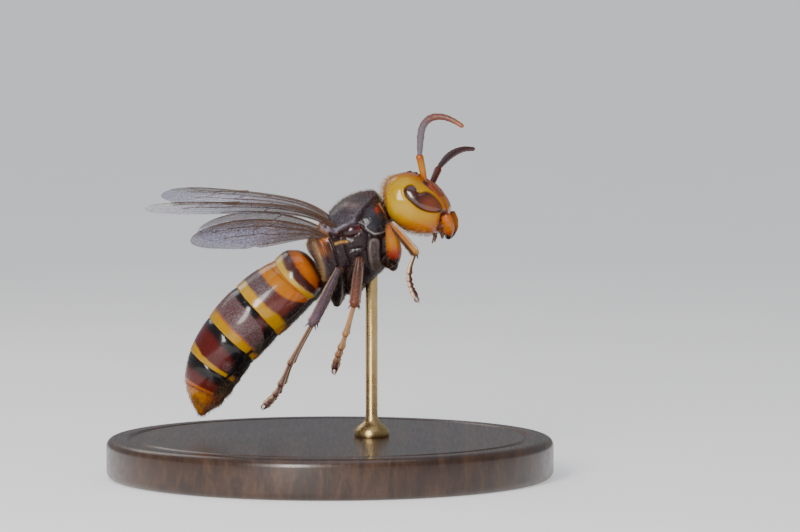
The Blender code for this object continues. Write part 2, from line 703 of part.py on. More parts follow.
def make_stand():
    """A round wooden base with an eased edge, and a rod that rises from a turned collar."""
    bpy.ops.mesh.primitive_cylinder_add(vertices=BASE_POINTS, radius=BASE_RADIUS * MM, depth=BASE_HEIGHT * MM,
                                        location=(0, 0, BASE_HEIGHT * MM / 2))
    base = bpy.context.object
    base.name = "stand_base"
    base.data.transform(base.matrix_world)
    base.matrix_world = Matrix.Identity(4)
    base.data.materials.append(material("wood"))
    ease = base.modifiers.new("eased edge", "BEVEL")
    ease.width = BASE_EDGE * MM
    ease.segments = 2
    ease.limit_method = "ANGLE"
    base.data.shade_smooth()
    base.data.set_sharp_from_angle(angle=radians(SHARP))
    foot = BASE_HEIGHT + GAP
    profile = ((foot, COLLAR_RADIUS), (foot + COLLAR_HEIGHT * 0.45, COLLAR_RADIUS),
               (foot + COLLAR_HEIGHT * 0.7, COLLAR_RADIUS * 0.8), (foot + COLLAR_HEIGHT, ROD_RADIUS * 1.1),
               (foot + COLLAR_HEIGHT + 0.6, ROD_RADIUS), (ROD_TOP, ROD_RADIUS))
    turns = [2 * pi * i / ROD_POINTS for i in range(ROD_POINTS)]
    rings = [[Vector((ROD_X + r * cos(turn), r * sin(turn), z)) for turn in turns] for z, r in profile]
    rod = solid("stand_rod", *loft(rings), "brass")
    carve(rod, solid("grown", *loft(thorax_rings(0, 10, grow=GAP, gap=-GAP)), "dark"))


def main():
    clear_scene()
    thorax = make_thorax()
    make_head()
    carve(thorax["pronotum"], solid("grown", *loft(head_rings(GAP)), "orange"))
    make_gaster()
    make_feelers()
    make_legs()
    make_wings()
    make_tegulae()
    make_stand()


main()
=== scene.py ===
# The looks of a life-size display model of an asian giant hornet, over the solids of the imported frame.
# Sizes and places are in millimetres and degrees, and meshes are written in metres. The hornet faces +X,
# its right side faces -Y, and +Z is up. The shapes of the body repeat the named sizes of the solids.

from contextlib import contextmanager
from math import cos, pi, radians, sin

import bmesh
import bpy
import numpy as np
from mathutils import Euler, Matrix, Vector, noise


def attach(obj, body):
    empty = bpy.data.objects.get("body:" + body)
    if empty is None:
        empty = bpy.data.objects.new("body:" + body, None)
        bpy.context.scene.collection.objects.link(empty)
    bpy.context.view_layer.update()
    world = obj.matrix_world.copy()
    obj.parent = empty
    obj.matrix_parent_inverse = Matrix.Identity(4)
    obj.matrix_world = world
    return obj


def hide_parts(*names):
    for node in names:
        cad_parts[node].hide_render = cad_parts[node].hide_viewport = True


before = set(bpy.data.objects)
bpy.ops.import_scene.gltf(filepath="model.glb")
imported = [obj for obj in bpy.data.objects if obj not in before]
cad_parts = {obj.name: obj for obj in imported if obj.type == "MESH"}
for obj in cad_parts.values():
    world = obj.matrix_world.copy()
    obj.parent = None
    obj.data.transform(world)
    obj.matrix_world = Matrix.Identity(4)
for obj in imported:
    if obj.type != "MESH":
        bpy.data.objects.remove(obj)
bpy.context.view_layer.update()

MM = 0.001
RIGHT = -1.0
LEFT = 1.0
SIDES = ((RIGHT, "right"), (LEFT, "left"))
chance = np.random.default_rng(7)

# Camera and floor, the floor's radius and how far the camera sees in metres
FLOOR_RADIUS = 200.0
CAMERA_SEES = 500.0
CAMERA_LENS = 200.0
CAMERA_DISTANCE = 555.6
CAMERA_RISE = 3.5
LOOK_AT = (8.75, 0.0, 26.43)

# Light: the sky, the spot the lamps shine at, and each lamp's name, power, colour, place and size in metres
SKY = (0.84, 0.87, 0.93, 1.0)
SKY_STRENGTH = 0.32
LIT = (0.0, 0.0, 24.0)
LIGHTS = (
    ("key", 1.55, (1.0, 0.97, 0.93), (-112, -337, 160), (0.09, 0.20)),
    ("cool top", 0.25, (0.82, 0.86, 1.0), (0, -40, 300), (0.30,)),
    ("rim", 0.14, (1.0, 0.96, 0.92), (-150, 190, 210), (0.16,)),
)

# Stand
BASE_RADIUS = 28.0
BASE_HEIGHT = 5.0
BASE_EDGE = 1.0
BASE_INSETS = ((2.6, 0.0), (0.35, -0.25), (0.5, 0.0), (0.35, 0.25), (6.0, 0.0), (8.0, 0.0))
ROD_RADIUS = 0.75
ROD_X = 5.2
ROD_TOP = 27.0
COLLAR_RADIUS = 2.2
# Turned shape of the collar and of the rod above it: heights over the base and shares of the radius
COLLAR = ((0.0, 0.96), (0.12, 1.0), (0.8, 1.0), (0.96, 0.94), (1.12, 0.9), (1.5, 0.72))
ROD_FOOT = ((1.8, 1.5), (2.2, 1.12), (2.8, 1.0))

# Thorax: cuts from the neck to the waist, as top x, z, bottom x, z, half width and boxiness
THORAX = (
    (6.7, 34.2, 7.3, 30.5, 1.9, 2.0), (6.1, 35.2, 7.4, 28.4, 3.4, 2.1), (5.1, 35.7, 7.0, 26.5, 4.2, 2.2),
    (3.8, 35.5, 6.1, 25.5, 4.6, 2.3), (2.4, 35.0, 5.1, 24.5, 4.75, 2.4), (1.0, 34.1, 4.0, 23.5, 4.6, 2.4),
    (-0.1, 33.0, 2.8, 22.9, 4.3, 2.4), (-1.3, 31.7, 1.6, 22.9, 3.9, 2.3), (-2.3, 30.2, 0.6, 23.2, 3.3, 2.2),
    (-2.65, 28.65, 0.0, 23.5, 2.4, 2.1), (-0.7, 25.95, -0.2, 24.0, 1.1, 2.0),
)
THORAX_NODES = ("pronotum", "mesothorax", "scutellum", "propodeum")

# Gaster: the cut at the front of each ring and the last one at the sting, as for the thorax
GASTER = (
    (-1.2, 26.0, -0.5, 24.1, 1.1, 2.0), (-7.4, 26.8, -1.9, 22.1, 4.0, 2.1),
    (-11.6, 23.8, -6.5, 17.8, 4.6, 2.1), (-15.1, 19.9, -9.8, 14.5, 4.4, 2.1),
    (-17.4, 15.8, -12.0, 11.4, 3.7, 2.1), (-18.0, 12.0, -13.2, 9.9, 2.7, 2.0),
    (-16.5, 7.9, -15.9, 7.7, 0.35, 2.0),
)
RINGS = len(GASTER) - 1
LAST_RING = RINGS - 1
# Cuts added in the first ring and in the last, the sting as (x, y, z, radius) down its length, how far a ring
# swells out and how far its rim stands up
SHOULDER = ((-3.0, 28.0, -0.9, 23.4, 2.9, 2.1), (-4.9, 28.3, -1.2, 22.8, 3.6, 2.1))
STING_BASE = (-17.4, 9.6, -14.7, 8.6, 1.5, 2.0)
STING = ((-16.3, 0.0, 8.6, 0.28), (-16.2, 0.0, 8.0, 0.22), (-16.15, 0.0, 7.55, 0.05))
RING_SWELL = 0.22
RING_LIP = 0.16

# Fineness of the skins: cuts of the head's cube, rows and columns, how near places are welded, the part of
# the unwrap under a hair, and how many hairs there are
HEAD_CUTS = 79
EYE_ROWS = 34
EYE_COLUMNS = 120
THORAX_ROWS = 190
THORAX_COLUMNS = 220
RING_ROWS = 36
RING_STEPS = 100
GASTER_COLUMNS = 240
JAW_ROWS = 56
JAW_COLUMNS = 40
FOOT_ROWS = 22
FOOT_COLUMNS = 18
WING_ROWS = 220
WING_COLUMNS = 90
CAP_ROWS = 4
TUBE_CAP_ROWS = 5
WELD = 0.0002
HAIR_PATCH = 0.0014
HAIRS = {"head": 1500, "thorax": 12000, "gaster": 15000, "limb": 900}
# Distance given to spots that a marking leaves out
FAR_OFF = 9.0

# Head: its outline from the side before it turns, and how far it reaches to either side, then the outlines
# of the eyes and the places of the three simple eyes
HEAD_OUTLINE = (
    (8.7, 38.05), (10.4, 38.2), (11.9, 37.5), (13.2, 36.6), (14.4, 35.2), (15.0, 33.7), (14.6, 32.2),
    (13.6, 30.8), (12.2, 30.4), (10.3, 30.7), (8.9, 31.4), (7.7, 32.6), (7.0, 34.2), (6.8, 35.9), (7.4, 37.3),
)
HEAD_HALF_WIDTH = 4.3
HEAD_BOXINESS = 2.7
CHEEK = (9.6, 34.3)
HEAD_TURN = -8.0
NECK = (6.8, 33.5)
EYE_OUTLINE = (
    (10.12, 36.5), (9.88, 36.1), (10.08, 35.4), (10.75, 34.7), (11.6, 34.0), (12.5, 33.55), (13.4, 33.38),
    (14.1, 33.42), (14.35, 33.7), (14.2, 34.3), (13.75, 34.95), (13.15, 35.55), (12.5, 35.85), (11.9, 35.7),
    (11.45, 35.9), (11.15, 36.45), (10.65, 36.7),
)
EYE_MIDDLE = (11.5, 35.0)
OCELLI = ((10.75, 0.0), (9.95, 0.62), (9.95, -0.62))
OCELLUS_RADIUS = 0.25
EYE_BULGE = 0.34
# Lines on the side of the head: the pit before a feeler, the ridge beside it, and the seam over the jaw
FEELER_PIT = ((12.25, 37.1), (12.65, 36.5), (13.05, 35.95))
BROW_RIDGE = ((13.0, 36.75), (13.55, 36.2), (14.1, 35.5))
JAW_SEAM = ((14.6, 33.3), (14.3, 32.6), (14.1, 31.8), (13.7, 31.1))
# Jaw: x, distance out, z, half breadth and half thickness down its length
MANDIBLE = (
    (14.75, 2.5, 33.2, 0.5, 0.45), (14.95, 2.45, 32.6, 0.66, 0.55), (15.1, 2.2, 31.9, 0.74, 0.6),
    (15.15, 1.75, 31.15, 0.68, 0.52), (15.05, 1.15, 30.5, 0.5, 0.4), (14.9, 0.6, 29.95, 0.28, 0.24),
)

# Feelers: scape and flagellum, each as (x, y, z) from its root
FEELERS = {
    "right": (
        ((12.0, -1.2, 35.4), (11.6, -1.8, 38.2), (11.2, -2.3, 40.1)),
        ((11.2, -2.4, 40.5), (11.3, -2.8, 42.6), (11.6, -3.3, 44.0), (12.5, -3.9, 45.0),
         (13.9, -4.4, 45.2), (15.2, -4.8, 44.8), (16.4, -5.1, 44.1)),
    ),
    "left": (
        ((12.3, 1.2, 35.6), (13.0, 2.4, 37.2), (13.5, 3.4, 38.3)),
        ((13.7, 3.7, 38.7), (14.6, 4.8, 39.7), (15.6, 5.8, 40.4), (16.8, 6.7, 40.8), (18.0, 7.4, 40.8)),
    ),
}
SCAPE_RADIUS = 0.45
FLAGELLUM_RADIUS = 0.44
FLAGELLUM_JOINTS = 10

# Legs of the right side: hip, thigh, shin and foot, each as (x, distance out, z, radius) down its length
LEGS = {
    "fore": (
        ((6.0, 1.5, 28.2, 0.9), (7.2, 2.7, 27.2, 0.85), (8.0, 3.8, 26.7, 0.6)),
        ((7.9, 3.5, 26.5, 0.5), (8.0, 4.2, 28.3, 0.9), (7.8, 4.9, 30.1, 0.8), (7.5, 5.6, 31.6, 0.5)),
        ((7.7, 5.8, 31.9, 0.4), (9.0, 5.7, 30.4, 0.5), (10.6, 5.4, 28.5, 0.55)),
        ((10.5, 5.2, 28.0, 0.36), (10.0, 5.0, 26.5, 0.35), (9.9, 4.8, 25.2, 0.36), (10.2, 4.6, 23.9, 0.36),
         (10.7, 4.4, 22.8, 0.34)),
    ),
    "mid": (
        ((3.7, 1.4, 25.0, 0.9), (3.3, 2.9, 24.0, 0.85), (3.05, 4.0, 23.5, 0.6)),
        ((3.0, 3.6, 23.2, 0.5), (3.1, 4.9, 24.5, 0.88), (3.4, 6.1, 26.1, 0.78), (3.8, 7.0, 27.4, 0.5)),
        ((3.7, 7.3, 27.7, 0.4), (3.5, 7.2, 25.4, 0.6), (3.1, 6.9, 22.2, 0.6)),
        ((2.9, 6.8, 21.6, 0.38), (2.0, 6.5, 18.4, 0.38), (1.4, 6.3, 16.6, 0.42), (0.9, 6.1, 15.2, 0.42),
         (0.65, 5.9, 14.0, 0.42)),
    ),
    "hind": (
        ((1.3, 1.4, 24.2, 0.9), (1.0, 3.0, 22.9, 0.88), (0.9, 4.2, 22.4, 0.62)),
        ((0.9, 3.7, 22.1, 0.52), (0.8, 5.1, 23.5, 0.92), (1.0, 6.6, 25.1, 0.82), (1.2, 7.7, 26.3, 0.5)),
        ((1.1, 8.1, 26.4, 0.4), (-0.3, 8.1, 23.4, 0.6), (-2.1, 7.9, 19.9, 0.55)),
        ((-2.4, 7.8, 19.3, 0.38), (-4.8, 7.6, 14.9, 0.38), (-5.9, 7.4, 12.4, 0.42), (-6.9, 7.2, 10.6, 0.42),
         (-7.9, 7.0, 9.6, 0.44)),
    ),
}
# Where the joints of each foot lie along its stations
FOOT_JOINTS = {"fore": (1.4, 2.1, 2.6, 3.1), "mid": (1.0, 1.9, 2.5, 3.1), "hind": (1.0, 2.05, 2.7, 3.3)}
FAR_LEG_DROP = 0.12
# Lean and length of each spur at the end of the shin
SPURS = {"fore": ((-0.5, 0.9),), "mid": ((0.45, 1.05), (-0.75, 0.85)), "hind": ((0.45, 1.05), (-0.75, 0.85))}
SPUR_RADIUS = 0.16
SPINE_LENGTH = 0.42
CLAW_LENGTH = 1.1
CLAW_RADIUS = 0.2
CLAW_SPREAD = 38.0
PAD_RADIUS = 0.34
PAD_TONE = (0.22, 0.15, 0.11)
EDGE_FADE = 0.28

# Wings, the widest part at a share of the length and the stalk as the breadth at the root. As shares of the
# breadth, bow is how far the front edge bows forward and tip how far back the tip lies. Late says how near
# the tip the front edge rounds, lift how far the wing rises off its root, camber how far it arches, and
# notch how deep the cut in its hind edge is.
WINGS = {
    "forewing": dict(root=(0.3, 3.8, 31.6), along=(-20.3, 18.4, 1.5), back=(-0.64, -0.74, -0.22), length=27.4,
                     breadth=7.6, widest=0.66, stalk=1.2, bow=0.09, tip=0.32, late=4.0, lift=2.3, camber=0.4,
                     notch=0.0),
    "hindwing": dict(root=(-0.6, 3.6, 30.2), along=(-15.3, 8.1, 1.1), back=(-0.38, -0.66, -0.62), length=17.3,
                     breadth=6.2, widest=0.55, stalk=1.0, bow=0.22, tip=0.5, late=2.6, lift=0.8, camber=0.3,
                     notch=0.4),
}
# How soon a wing has risen off its root, the thickness of its film and the height of its pleats
LIFT_SPEED = 7.0
MEMBRANE = 0.05
PLEAT = 0.035

# Veins as (half width at the root, half width at the end, places), each place a share out and across
VEINS = {
    "forewing": (
        (0.20, 0.10, ((0.0, 0.06), (0.2, 0.03), (0.45, 0.02), (0.62, 0.02), (0.8, 0.02), (0.94, 0.03))),
        (0.16, 0.13, ((0.0, 0.24), (0.2, 0.15), (0.45, 0.10), (0.6, 0.07))),
        (0.34, 0.16, ((0.585, 0.04), (0.63, 0.07), (0.69, 0.05))),
        (0.11, 0.09, ((0.63, 0.09), (0.70, 0.20), (0.78, 0.25), (0.86, 0.22), (0.93, 0.07))),
        (0.15, 0.09, ((0.0, 0.42), (0.2, 0.37), (0.42, 0.36), (0.6, 0.36), (0.75, 0.37), (0.87, 0.40))),
        (0.11, 0.10, ((0.36, 0.10), (0.40, 0.22), (0.42, 0.36))),
        (0.09, 0.08, ((0.60, 0.36), (0.61, 0.22), (0.63, 0.10))),
        (0.08, 0.08, ((0.70, 0.20), (0.71, 0.30), (0.70, 0.365))),
        (0.08, 0.08, ((0.79, 0.25), (0.81, 0.32), (0.80, 0.38))),
        (0.13, 0.08, ((0.0, 0.62), (0.25, 0.60), (0.5, 0.62), (0.66, 0.64), (0.75, 0.70))),
        (0.09, 0.08, ((0.52, 0.36), (0.50, 0.48), (0.52, 0.62))),
        (0.08, 0.08, ((0.70, 0.366), (0.68, 0.5), (0.70, 0.66))),
        (0.11, 0.07, ((0.0, 0.84), (0.2, 0.88), (0.4, 0.89), (0.5, 0.93))),
        (0.08, 0.08, ((0.30, 0.60), (0.31, 0.74), (0.30, 0.885))),
    ),
    "hindwing": (
        (0.16, 0.08, ((0.0, 0.06), (0.3, 0.04), (0.6, 0.03), (0.9, 0.04))),
        (0.12, 0.07, ((0.0, 0.36), (0.25, 0.30), (0.5, 0.30), (0.7, 0.33), (0.86, 0.40))),
        (0.10, 0.07, ((0.0, 0.62), (0.3, 0.58), (0.55, 0.60), (0.74, 0.68))),
        (0.08, 0.07, ((0.40, 0.04), (0.43, 0.16), (0.44, 0.30))),
        (0.08, 0.07, ((0.52, 0.30), (0.54, 0.45), (0.52, 0.60))),
        (0.09, 0.06, ((0.0, 0.86), (0.25, 0.88), (0.5, 0.92))),
    ),
}
# Scale over the roots of the wings: its place, half its sizes and its turn
TEGULA = ((2.85, 4.6, 31.1), (1.15, 0.5, 0.75))
TEGULA_TURN = -20.0

# Colours of the body, as linear red, green and blue
YELLOW = (0.42, 0.215, 0.0001)
PALE_YELLOW = (0.50, 0.31, 0.05)
ORANGE = (0.42, 0.100, 0.0002)
TAN = (0.42, 0.145, 0.006)
DEEP_ORANGE = (0.26, 0.034, 0.0002)
RUST = (0.10, 0.008, 0.002)
PLUM = (0.055, 0.014, 0.012)
WINE = (0.026, 0.003, 0.0025)
BLACK = (0.0045, 0.0035, 0.0045)
SLATE = (0.030, 0.025, 0.032)
BROWN = (0.11, 0.034, 0.012)
# Lilac grey of fine down, also used for painted sheen on the scutum and on the tops of the first two rings
DOWN_AND_SHEEN = (0.20, 0.165, 0.19)
STRAW = (0.42, 0.25, 0.085)


# Curves and fields

def curve(points, t, closed=False):
    """Places along a smooth curve through points, at each of the steps t from the first point."""
    points = np.asarray(points, float)
    count = len(points)
    last = count if closed else count - 1
    t = np.asarray(t, float)
    i = np.clip(np.floor(t).astype(int), 0, last - 1)
    f = (t - i)[:, None]
    if closed:
        p0, p1, p2, p3 = (points[(i + k) % count] for k in (-1, 0, 1, 2))
    else:
        p0, p1, p2, p3 = (points[np.clip(i + k, 0, last)] for k in (-1, 0, 1, 2))
    return 0.5 * (2 * p1 + (p2 - p0) * f + (2 * p0 - 5 * p1 + 4 * p2 - p3) * f ** 2
                  + (3 * p1 - p0 - 3 * p2 + p3) * f ** 3)


def once_round(count):
    """Angles of as many steps round a circle, the last at the same place as the first."""
    turns = np.linspace(0.0, 2 * pi, count + 1)
    turns[-1] = 0.0
    return turns


def round_curve(points, count):
    """As many places evenly along a smooth closed curve through points."""
    return curve(points, np.linspace(0.0, len(points), count + 1)[:-1], closed=True)


def unit(vectors):
    return vectors / np.maximum(np.linalg.norm(vectors, axis=-1, keepdims=True), 1e-12)


def rise(values, low, high):
    """A smooth step from 0 at low to 1 at high."""
    t = np.clip((values - low) / (high - low), 0.0, 1.0)
    return t * t * (3 - 2 * t)


def fall(values, low, high):
    """A smooth step from 1 at low to 0 at high."""
    return 1 - rise(values, low, high)


def bell(values, width, sharp=2):
    """1 where the values are 0, and less on both sides of it over about this width."""
    return np.exp(-(values / width) ** sharp)


def off_line(spots, line):
    """How far each of the flat spots lies from a line of points."""
    line = np.asarray(line, float)
    best = np.full(len(spots), 1e9)
    for a, b in zip(line[:-1], line[1:]):
        along = b - a
        share = np.clip((spots - a) @ along / (along @ along), 0.0, 1.0)
        best = np.minimum(best, np.linalg.norm(spots - a - share[:, None] * along, axis=1))
    return best


def inside_outline(spots, outline):
    """How far each flat spot lies inside a closed outline, and below zero outside it."""
    outline = np.asarray(outline, float)
    within = np.zeros(len(spots), bool)
    x, z = spots.T
    for (ax, az), (bx, bz) in zip(outline, np.roll(outline, -1, axis=0)):
        crosses = (az > z) != (bz > z)
        height = bz - az if abs(bz - az) > 1e-9 else 1e-9
        within ^= crosses & (x < (bx - ax) * (z - az) / height + ax)
    far = off_line(spots, np.vstack((outline, outline[:1])))
    return np.where(within, far, -far)


def mixed(colours, other, share):
    """One colour or many, changed towards another by a share for each spot."""
    colours = np.asarray(colours, float)
    return colours + (np.asarray(other, float) - colours) * np.expand_dims(np.clip(share, 0.0, 1.0), -1)


class Paint:
    """Markings built up from a ground tone by coats, each a tone and its share at every spot.

    Where keeps the coats that follow to some of the spots.
    """

    def __init__(self, ground):
        self.colours = ground
        self.where = 1.0

    def __call__(self, tone, share):
        self.colours = mixed(self.colours, tone, self.where * share)


def ripple(spots, size, seed=0.0):
    """Soft noise from about -1 to 1 at each spot, with lumps of about this size."""
    return np.array([noise.noise(Vector((x / size + seed, y / size, z / size))) for x, y, z in spots]) * 2.0


# Mesh work

@contextmanager
def editing():
    """Edit mode, with all of the active piece selected."""
    bpy.ops.object.mode_set(mode="EDIT")
    bpy.ops.mesh.select_all(action="SELECT")
    yield
    bpy.ops.object.mode_set(mode="OBJECT")


def alone(piece):
    """Select this piece and no other."""
    bpy.ops.object.select_all(action="DESELECT")
    piece.select_set(True)
    bpy.context.view_layer.objects.active = piece


def named(name):
    """The active piece, with its object and its mesh under this name."""
    piece = bpy.context.object
    piece.name = piece.data.name = name
    return piece


def fetched(source, name, width):
    """A field of a mesh as rows of this many numbers."""
    values = np.empty(len(source) * width, np.float32)
    source.foreach_get(name, values)
    return values.reshape(-1, width).astype(float)


def places(piece):
    """Every vertex of a piece, in millimetres."""
    return fetched(piece.data.vertices, "co", 3) / MM


def put(piece, spots):
    piece.data.vertices.foreach_set("co", (spots * MM).astype(np.float32).ravel())
    piece.data.update()


def facing(piece):
    """The outward direction at every vertex."""
    return fetched(piece.data.vertices, "normal", 3)


def note(piece, **fields):
    """Keep a number for each vertex, or one for all, under each of these names."""
    for name, values in fields.items():
        field = piece.data.attributes.new(name, "FLOAT", "POINT")
        field.data.foreach_set("value", np.full(len(piece.data.vertices), values, np.float32))


def noted(piece, name):
    return fetched(piece.data.attributes[name].data, "value", 1)[:, 0]


def tint(piece, colours):
    """Paint the vertices of a piece with their markings, or all with one."""
    field = piece.data.color_attributes.new("markings", "FLOAT_COLOR", "POINT")
    full = np.ones((len(piece.data.vertices), 4), np.float32)
    full[:, :3] = colours
    field.data.foreach_set("color", full.ravel())


def tinted(piece):
    return fetched(piece.data.color_attributes["markings"].data, "color", 4)[:, :3]


def close_up(piece):
    """Merge the seam and the ends of a wrapped grid and turn its faces outwards."""
    alone(piece)
    with editing():
        bpy.ops.mesh.remove_doubles(threshold=WELD * MM)
        bpy.ops.mesh.normals_make_consistent(inside=False)
    bpy.ops.object.shade_smooth()


def wrap(name, grid):
    """A flat grid wrapped over rows and columns of places, with its own row and column kept as fields."""
    rows, columns = grid.shape[:2]
    bpy.ops.mesh.primitive_grid_add(x_subdivisions=columns - 1, y_subdivisions=rows - 1, size=2.0)
    piece = named(name)
    flat = places(piece) * MM
    column = np.rint((flat[:, 0] + 1) / 2 * (columns - 1)).astype(int)
    row = np.rint((flat[:, 1] + 1) / 2 * (rows - 1)).astype(int)
    put(piece, grid[row, column])
    note(piece, across=column / (columns - 1), down=row / (rows - 1))
    close_up(piece)
    return piece


def press(piece, relief):
    """Move the surface in or out by a height for each vertex."""
    put(piece, places(piece) + facing(piece) * relief[:, None])


def join(name, parts):
    """Several pieces made one."""
    alone(parts[0])
    for part in parts:
        part.select_set(True)
    if len(parts) > 1:
        bpy.ops.object.join()
    return named(name)


def settled(piece):
    """A piece with its place moved from its object into its mesh."""
    alone(piece)
    bpy.ops.object.transform_apply(location=True, rotation=True, scale=True)
    return piece


def finished(piece, finish, slot, *nodes):
    """Give a piece its finish by name, and have it ride on the model in the place of these solids."""
    piece.data.materials.clear()
    piece.data.materials.append(FINISHES[finish])
    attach(piece, "root")
    if nodes:
        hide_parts(*nodes)
    return piece


def frames_along(way):
    """Two directions square to a way at each of its places, turned no more than they must."""
    along = unit(np.gradient(way, axis=0))
    side = np.array(Vector(along[0]).orthogonal())
    sides = []
    for direction in along:
        side = side - direction * (side @ direction)
        side = side / np.linalg.norm(side)
        sides.append(side)
    sides = np.array(sides)
    return along, sides, np.cross(along, sides)


def tube_grid(way, radii, columns, wide=1.0, high=1.0, towards=None, cap=TUBE_CAP_ROWS):
    """Rows of places round a way, with a rounded end at both ends."""
    way = np.asarray(way, float)
    radii = np.asarray(radii, float)
    along, side, other = frames_along(way)
    if towards is not None:
        towards = np.asarray(towards, float)
        side = unit(towards - along * (along @ towards)[:, None])
        other = np.cross(along, side)
    turns = once_round(columns)
    ring = (side[:, None] * np.cos(turns)[None, :, None] * wide
            + other[:, None] * np.sin(turns)[None, :, None] * high)
    body = way[:, None] + ring * radii[:, None, None]
    angles = np.linspace(pi / 2, 0.0, cap, endpoint=False)
    front = [way[0] - along[0] * radii[0] * sin(a) + ring[0] * radii[0] * cos(a) for a in angles]
    back = [way[-1] + along[-1] * radii[-1] * sin(a) + ring[-1] * radii[-1] * cos(a) for a in angles[::-1]]
    return np.concatenate((front, body, back))


def tube(name, stations, rows, columns=24, swell=None, **shape):
    """A smooth tube through (x, y, z, radius) stations, its radius changed by swell at each step along."""
    steps = np.linspace(0.0, len(stations) - 1, rows)
    spots = curve(stations, steps)
    radii = spots[:, 3]
    if swell is not None:
        radii = radii * swell(steps)
    return wrap(name, tube_grid(spots[:, :3], radii, columns, **shape))


# Finishes

class Link:
    """A socket of a finish that can stand in a sum."""

    def __init__(self, finish, socket):
        self.finish = finish
        self.socket = socket

    def maths(self, operation, first, second):
        return self.finish.node("ShaderNodeMath", dict(operation=operation), {0: first, 1: second})

    def __add__(self, other):
        return self.maths("ADD", self, other)

    def __sub__(self, other):
        return self.maths("SUBTRACT", self, other)

    def __rsub__(self, other):
        return self.maths("SUBTRACT", other, self)

    def __mul__(self, other):
        return self.maths("MULTIPLY", self, other)

    def clamped(self):
        return self.finish.node("ShaderNodeClamp", {}, {"Value": self})


class Finish:
    """One material, built up from nodes."""

    def __init__(self, name, **constants):
        self.material = bpy.data.materials.new(name)
        self.material.use_nodes = True
        self.tree = self.material.node_tree
        self.shader = self.tree.nodes["Principled BSDF"]
        self.done(**constants)
        spot = self.node("ShaderNodeTexCoord", {}, {}, "Object")
        self.place = self.node("ShaderNodeVectorMath", dict(operation="SCALE"), {0: spot, "Scale": 1.0 / MM})

    def node(self, kind, settings, inputs, out=0):
        made = self.tree.nodes.new(kind)
        for name, value in settings.items():
            setattr(made, name, value)
        for name, value in inputs.items():
            self.feed(made.inputs[name], value)
        return Link(self, made.outputs[out])

    def feed(self, socket, value):
        """Link a socket to another, or set its value, or its colour as red, green and blue."""
        if isinstance(value, Link):
            self.tree.links.new(value.socket, socket)
        elif socket.type == "RGBA":
            socket.default_value = (*value, 1.0)
        else:
            socket.default_value = value

    def noise(self, size, detail=3.0, roughness=0.55, distortion=0.0, at=None):
        """Noise from 0 to 1, with lumps of about this size in millimetres."""
        return self.node("ShaderNodeTexNoise", {}, {
            "Vector": at or self.place, "Scale": 1.0 / size, "Detail": detail, "Roughness": roughness,
            "Distortion": distortion})

    def cells(self, size, randomness=1.0):
        """Distance to the middles of cells of about this size."""
        return self.node("ShaderNodeTexVoronoi", {},
                         {"Vector": self.place, "Scale": 1.0 / size, "Randomness": randomness}, "Distance")

    def flat(self, x, y):
        """A place for noise that runs over a surface rather than through space."""
        return self.node("ShaderNodeCombineXYZ", {}, {0: x, 1: y})

    def field(self, name, out="Fac"):
        return self.node("ShaderNodeAttribute", dict(attribute_name=name), {}, out)

    def markings(self):
        return self.field("markings", "Color")

    def spread(self, value, low, high, first=0.0, last=1.0):
        """A value from low to high as a number from first to last, held at both ends."""
        return self.node("ShaderNodeMapRange", dict(clamp=True),
                         {"Value": value, "From Min": low, "From Max": high, "To Min": first, "To Max": last})

    def mix(self, share, first, second, blend="MIX"):
        return self.node("ShaderNodeMix", dict(data_type="RGBA", blend_type=blend, clamp_result=False),
                         {0: share, 6: first, 7: second}, 2)

    def ramp(self, value, *stops):
        """Colours at positions from 0 to 1, blended by a value."""
        made = self.node("ShaderNodeValToRGB", {}, {0: value}, "Color")
        elements = made.socket.node.color_ramp.elements
        while len(elements) < len(stops):
            elements.new(0.5)
        for element, (position, tone) in zip(elements, stops):
            element.position = position
            element.color = (*tone, 1.0)
        return made

    def bump(self, height, depth, **under):
        """A bump of this depth in millimetres over a height from 0 to 1."""
        return self.node("ShaderNodeBump", {},
                         {"Height": height, "Distance": depth * MM, "Strength": 1.0, **under}, "Normal")

    def done(self, **inputs):
        """The material, with these inputs of its shader fed."""
        for socket, value in inputs.items():
            self.feed(self.shader.inputs[socket.replace("_", " ")], value)
        return self.material


def shell_finish(name, rough, pits, pit_size, vary, ior, coat=0.25, polish=0.12):
    """Hard glossy shell that carries its markings, with fine pits, dull where noted, and lilac where down and
    painted sheen are noted.
    """
    f = Finish(name, IOR=ior, Coat_Roughness=polish, Coat_IOR=1.5)
    fine = f.noise(0.16)
    dull = f.field("dull")
    shade = f.spread(f.noise(1.4, 4.0), 0.3, 0.7, 1.0 - vary, 1.0 + vary * 0.5)
    grey = f.node("ShaderNodeCombineColor", {}, {0: shade, 1: shade, 2: shade})
    base = f.mix(1.0, f.markings(), grey, "MULTIPLY")
    base = f.mix(f.field("down_cover") * f.spread(fine, 0.40, 0.65, 0.0, 0.85), base, DOWN_AND_SHEEN)
    pit = f.spread(f.cells(pit_size), 0.0, 0.35)
    return f.done(Base_Color=base, Roughness=((fine - 0.5) * 0.12 + rough + dull * 0.6).clamped(),
                  Coat_Weight=(coat - dull * coat).clamped(), Normal=f.bump(pit * 0.7 + fine * 0.5, pits))


def eye_finish():
    f = Finish("eye facets", IOR=1.5, Coat_Roughness=0.04, Coat_Weight=0.6)
    cloud = f.noise(0.8)
    base = f.mix(f.spread(cloud, 0.35, 0.75, 0.0, 0.4), f.markings(), (0.10, 0.022, 0.010))
    facet = f.spread(f.cells(0.055, 0.15), 0.0, 0.6, 1.0, 0.0)
    return f.done(Base_Color=base, Roughness=f.spread(cloud, 0.2, 0.8, 0.14, 0.26),
                  Normal=f.bump(facet, 0.0035))


def feeler_finish():
    f = Finish("feeler rings", IOR=1.5)
    fine = f.noise(0.07, 2.0)
    base = f.mix(f.spread(fine, 0.45, 0.7, 0.0, 0.16), f.markings(), (0.30, 0.25, 0.28))
    return f.done(Base_Color=base, Roughness=f.spread(fine, 0.3, 0.7, 0.30, 0.48), Normal=f.bump(fine, 0.010))


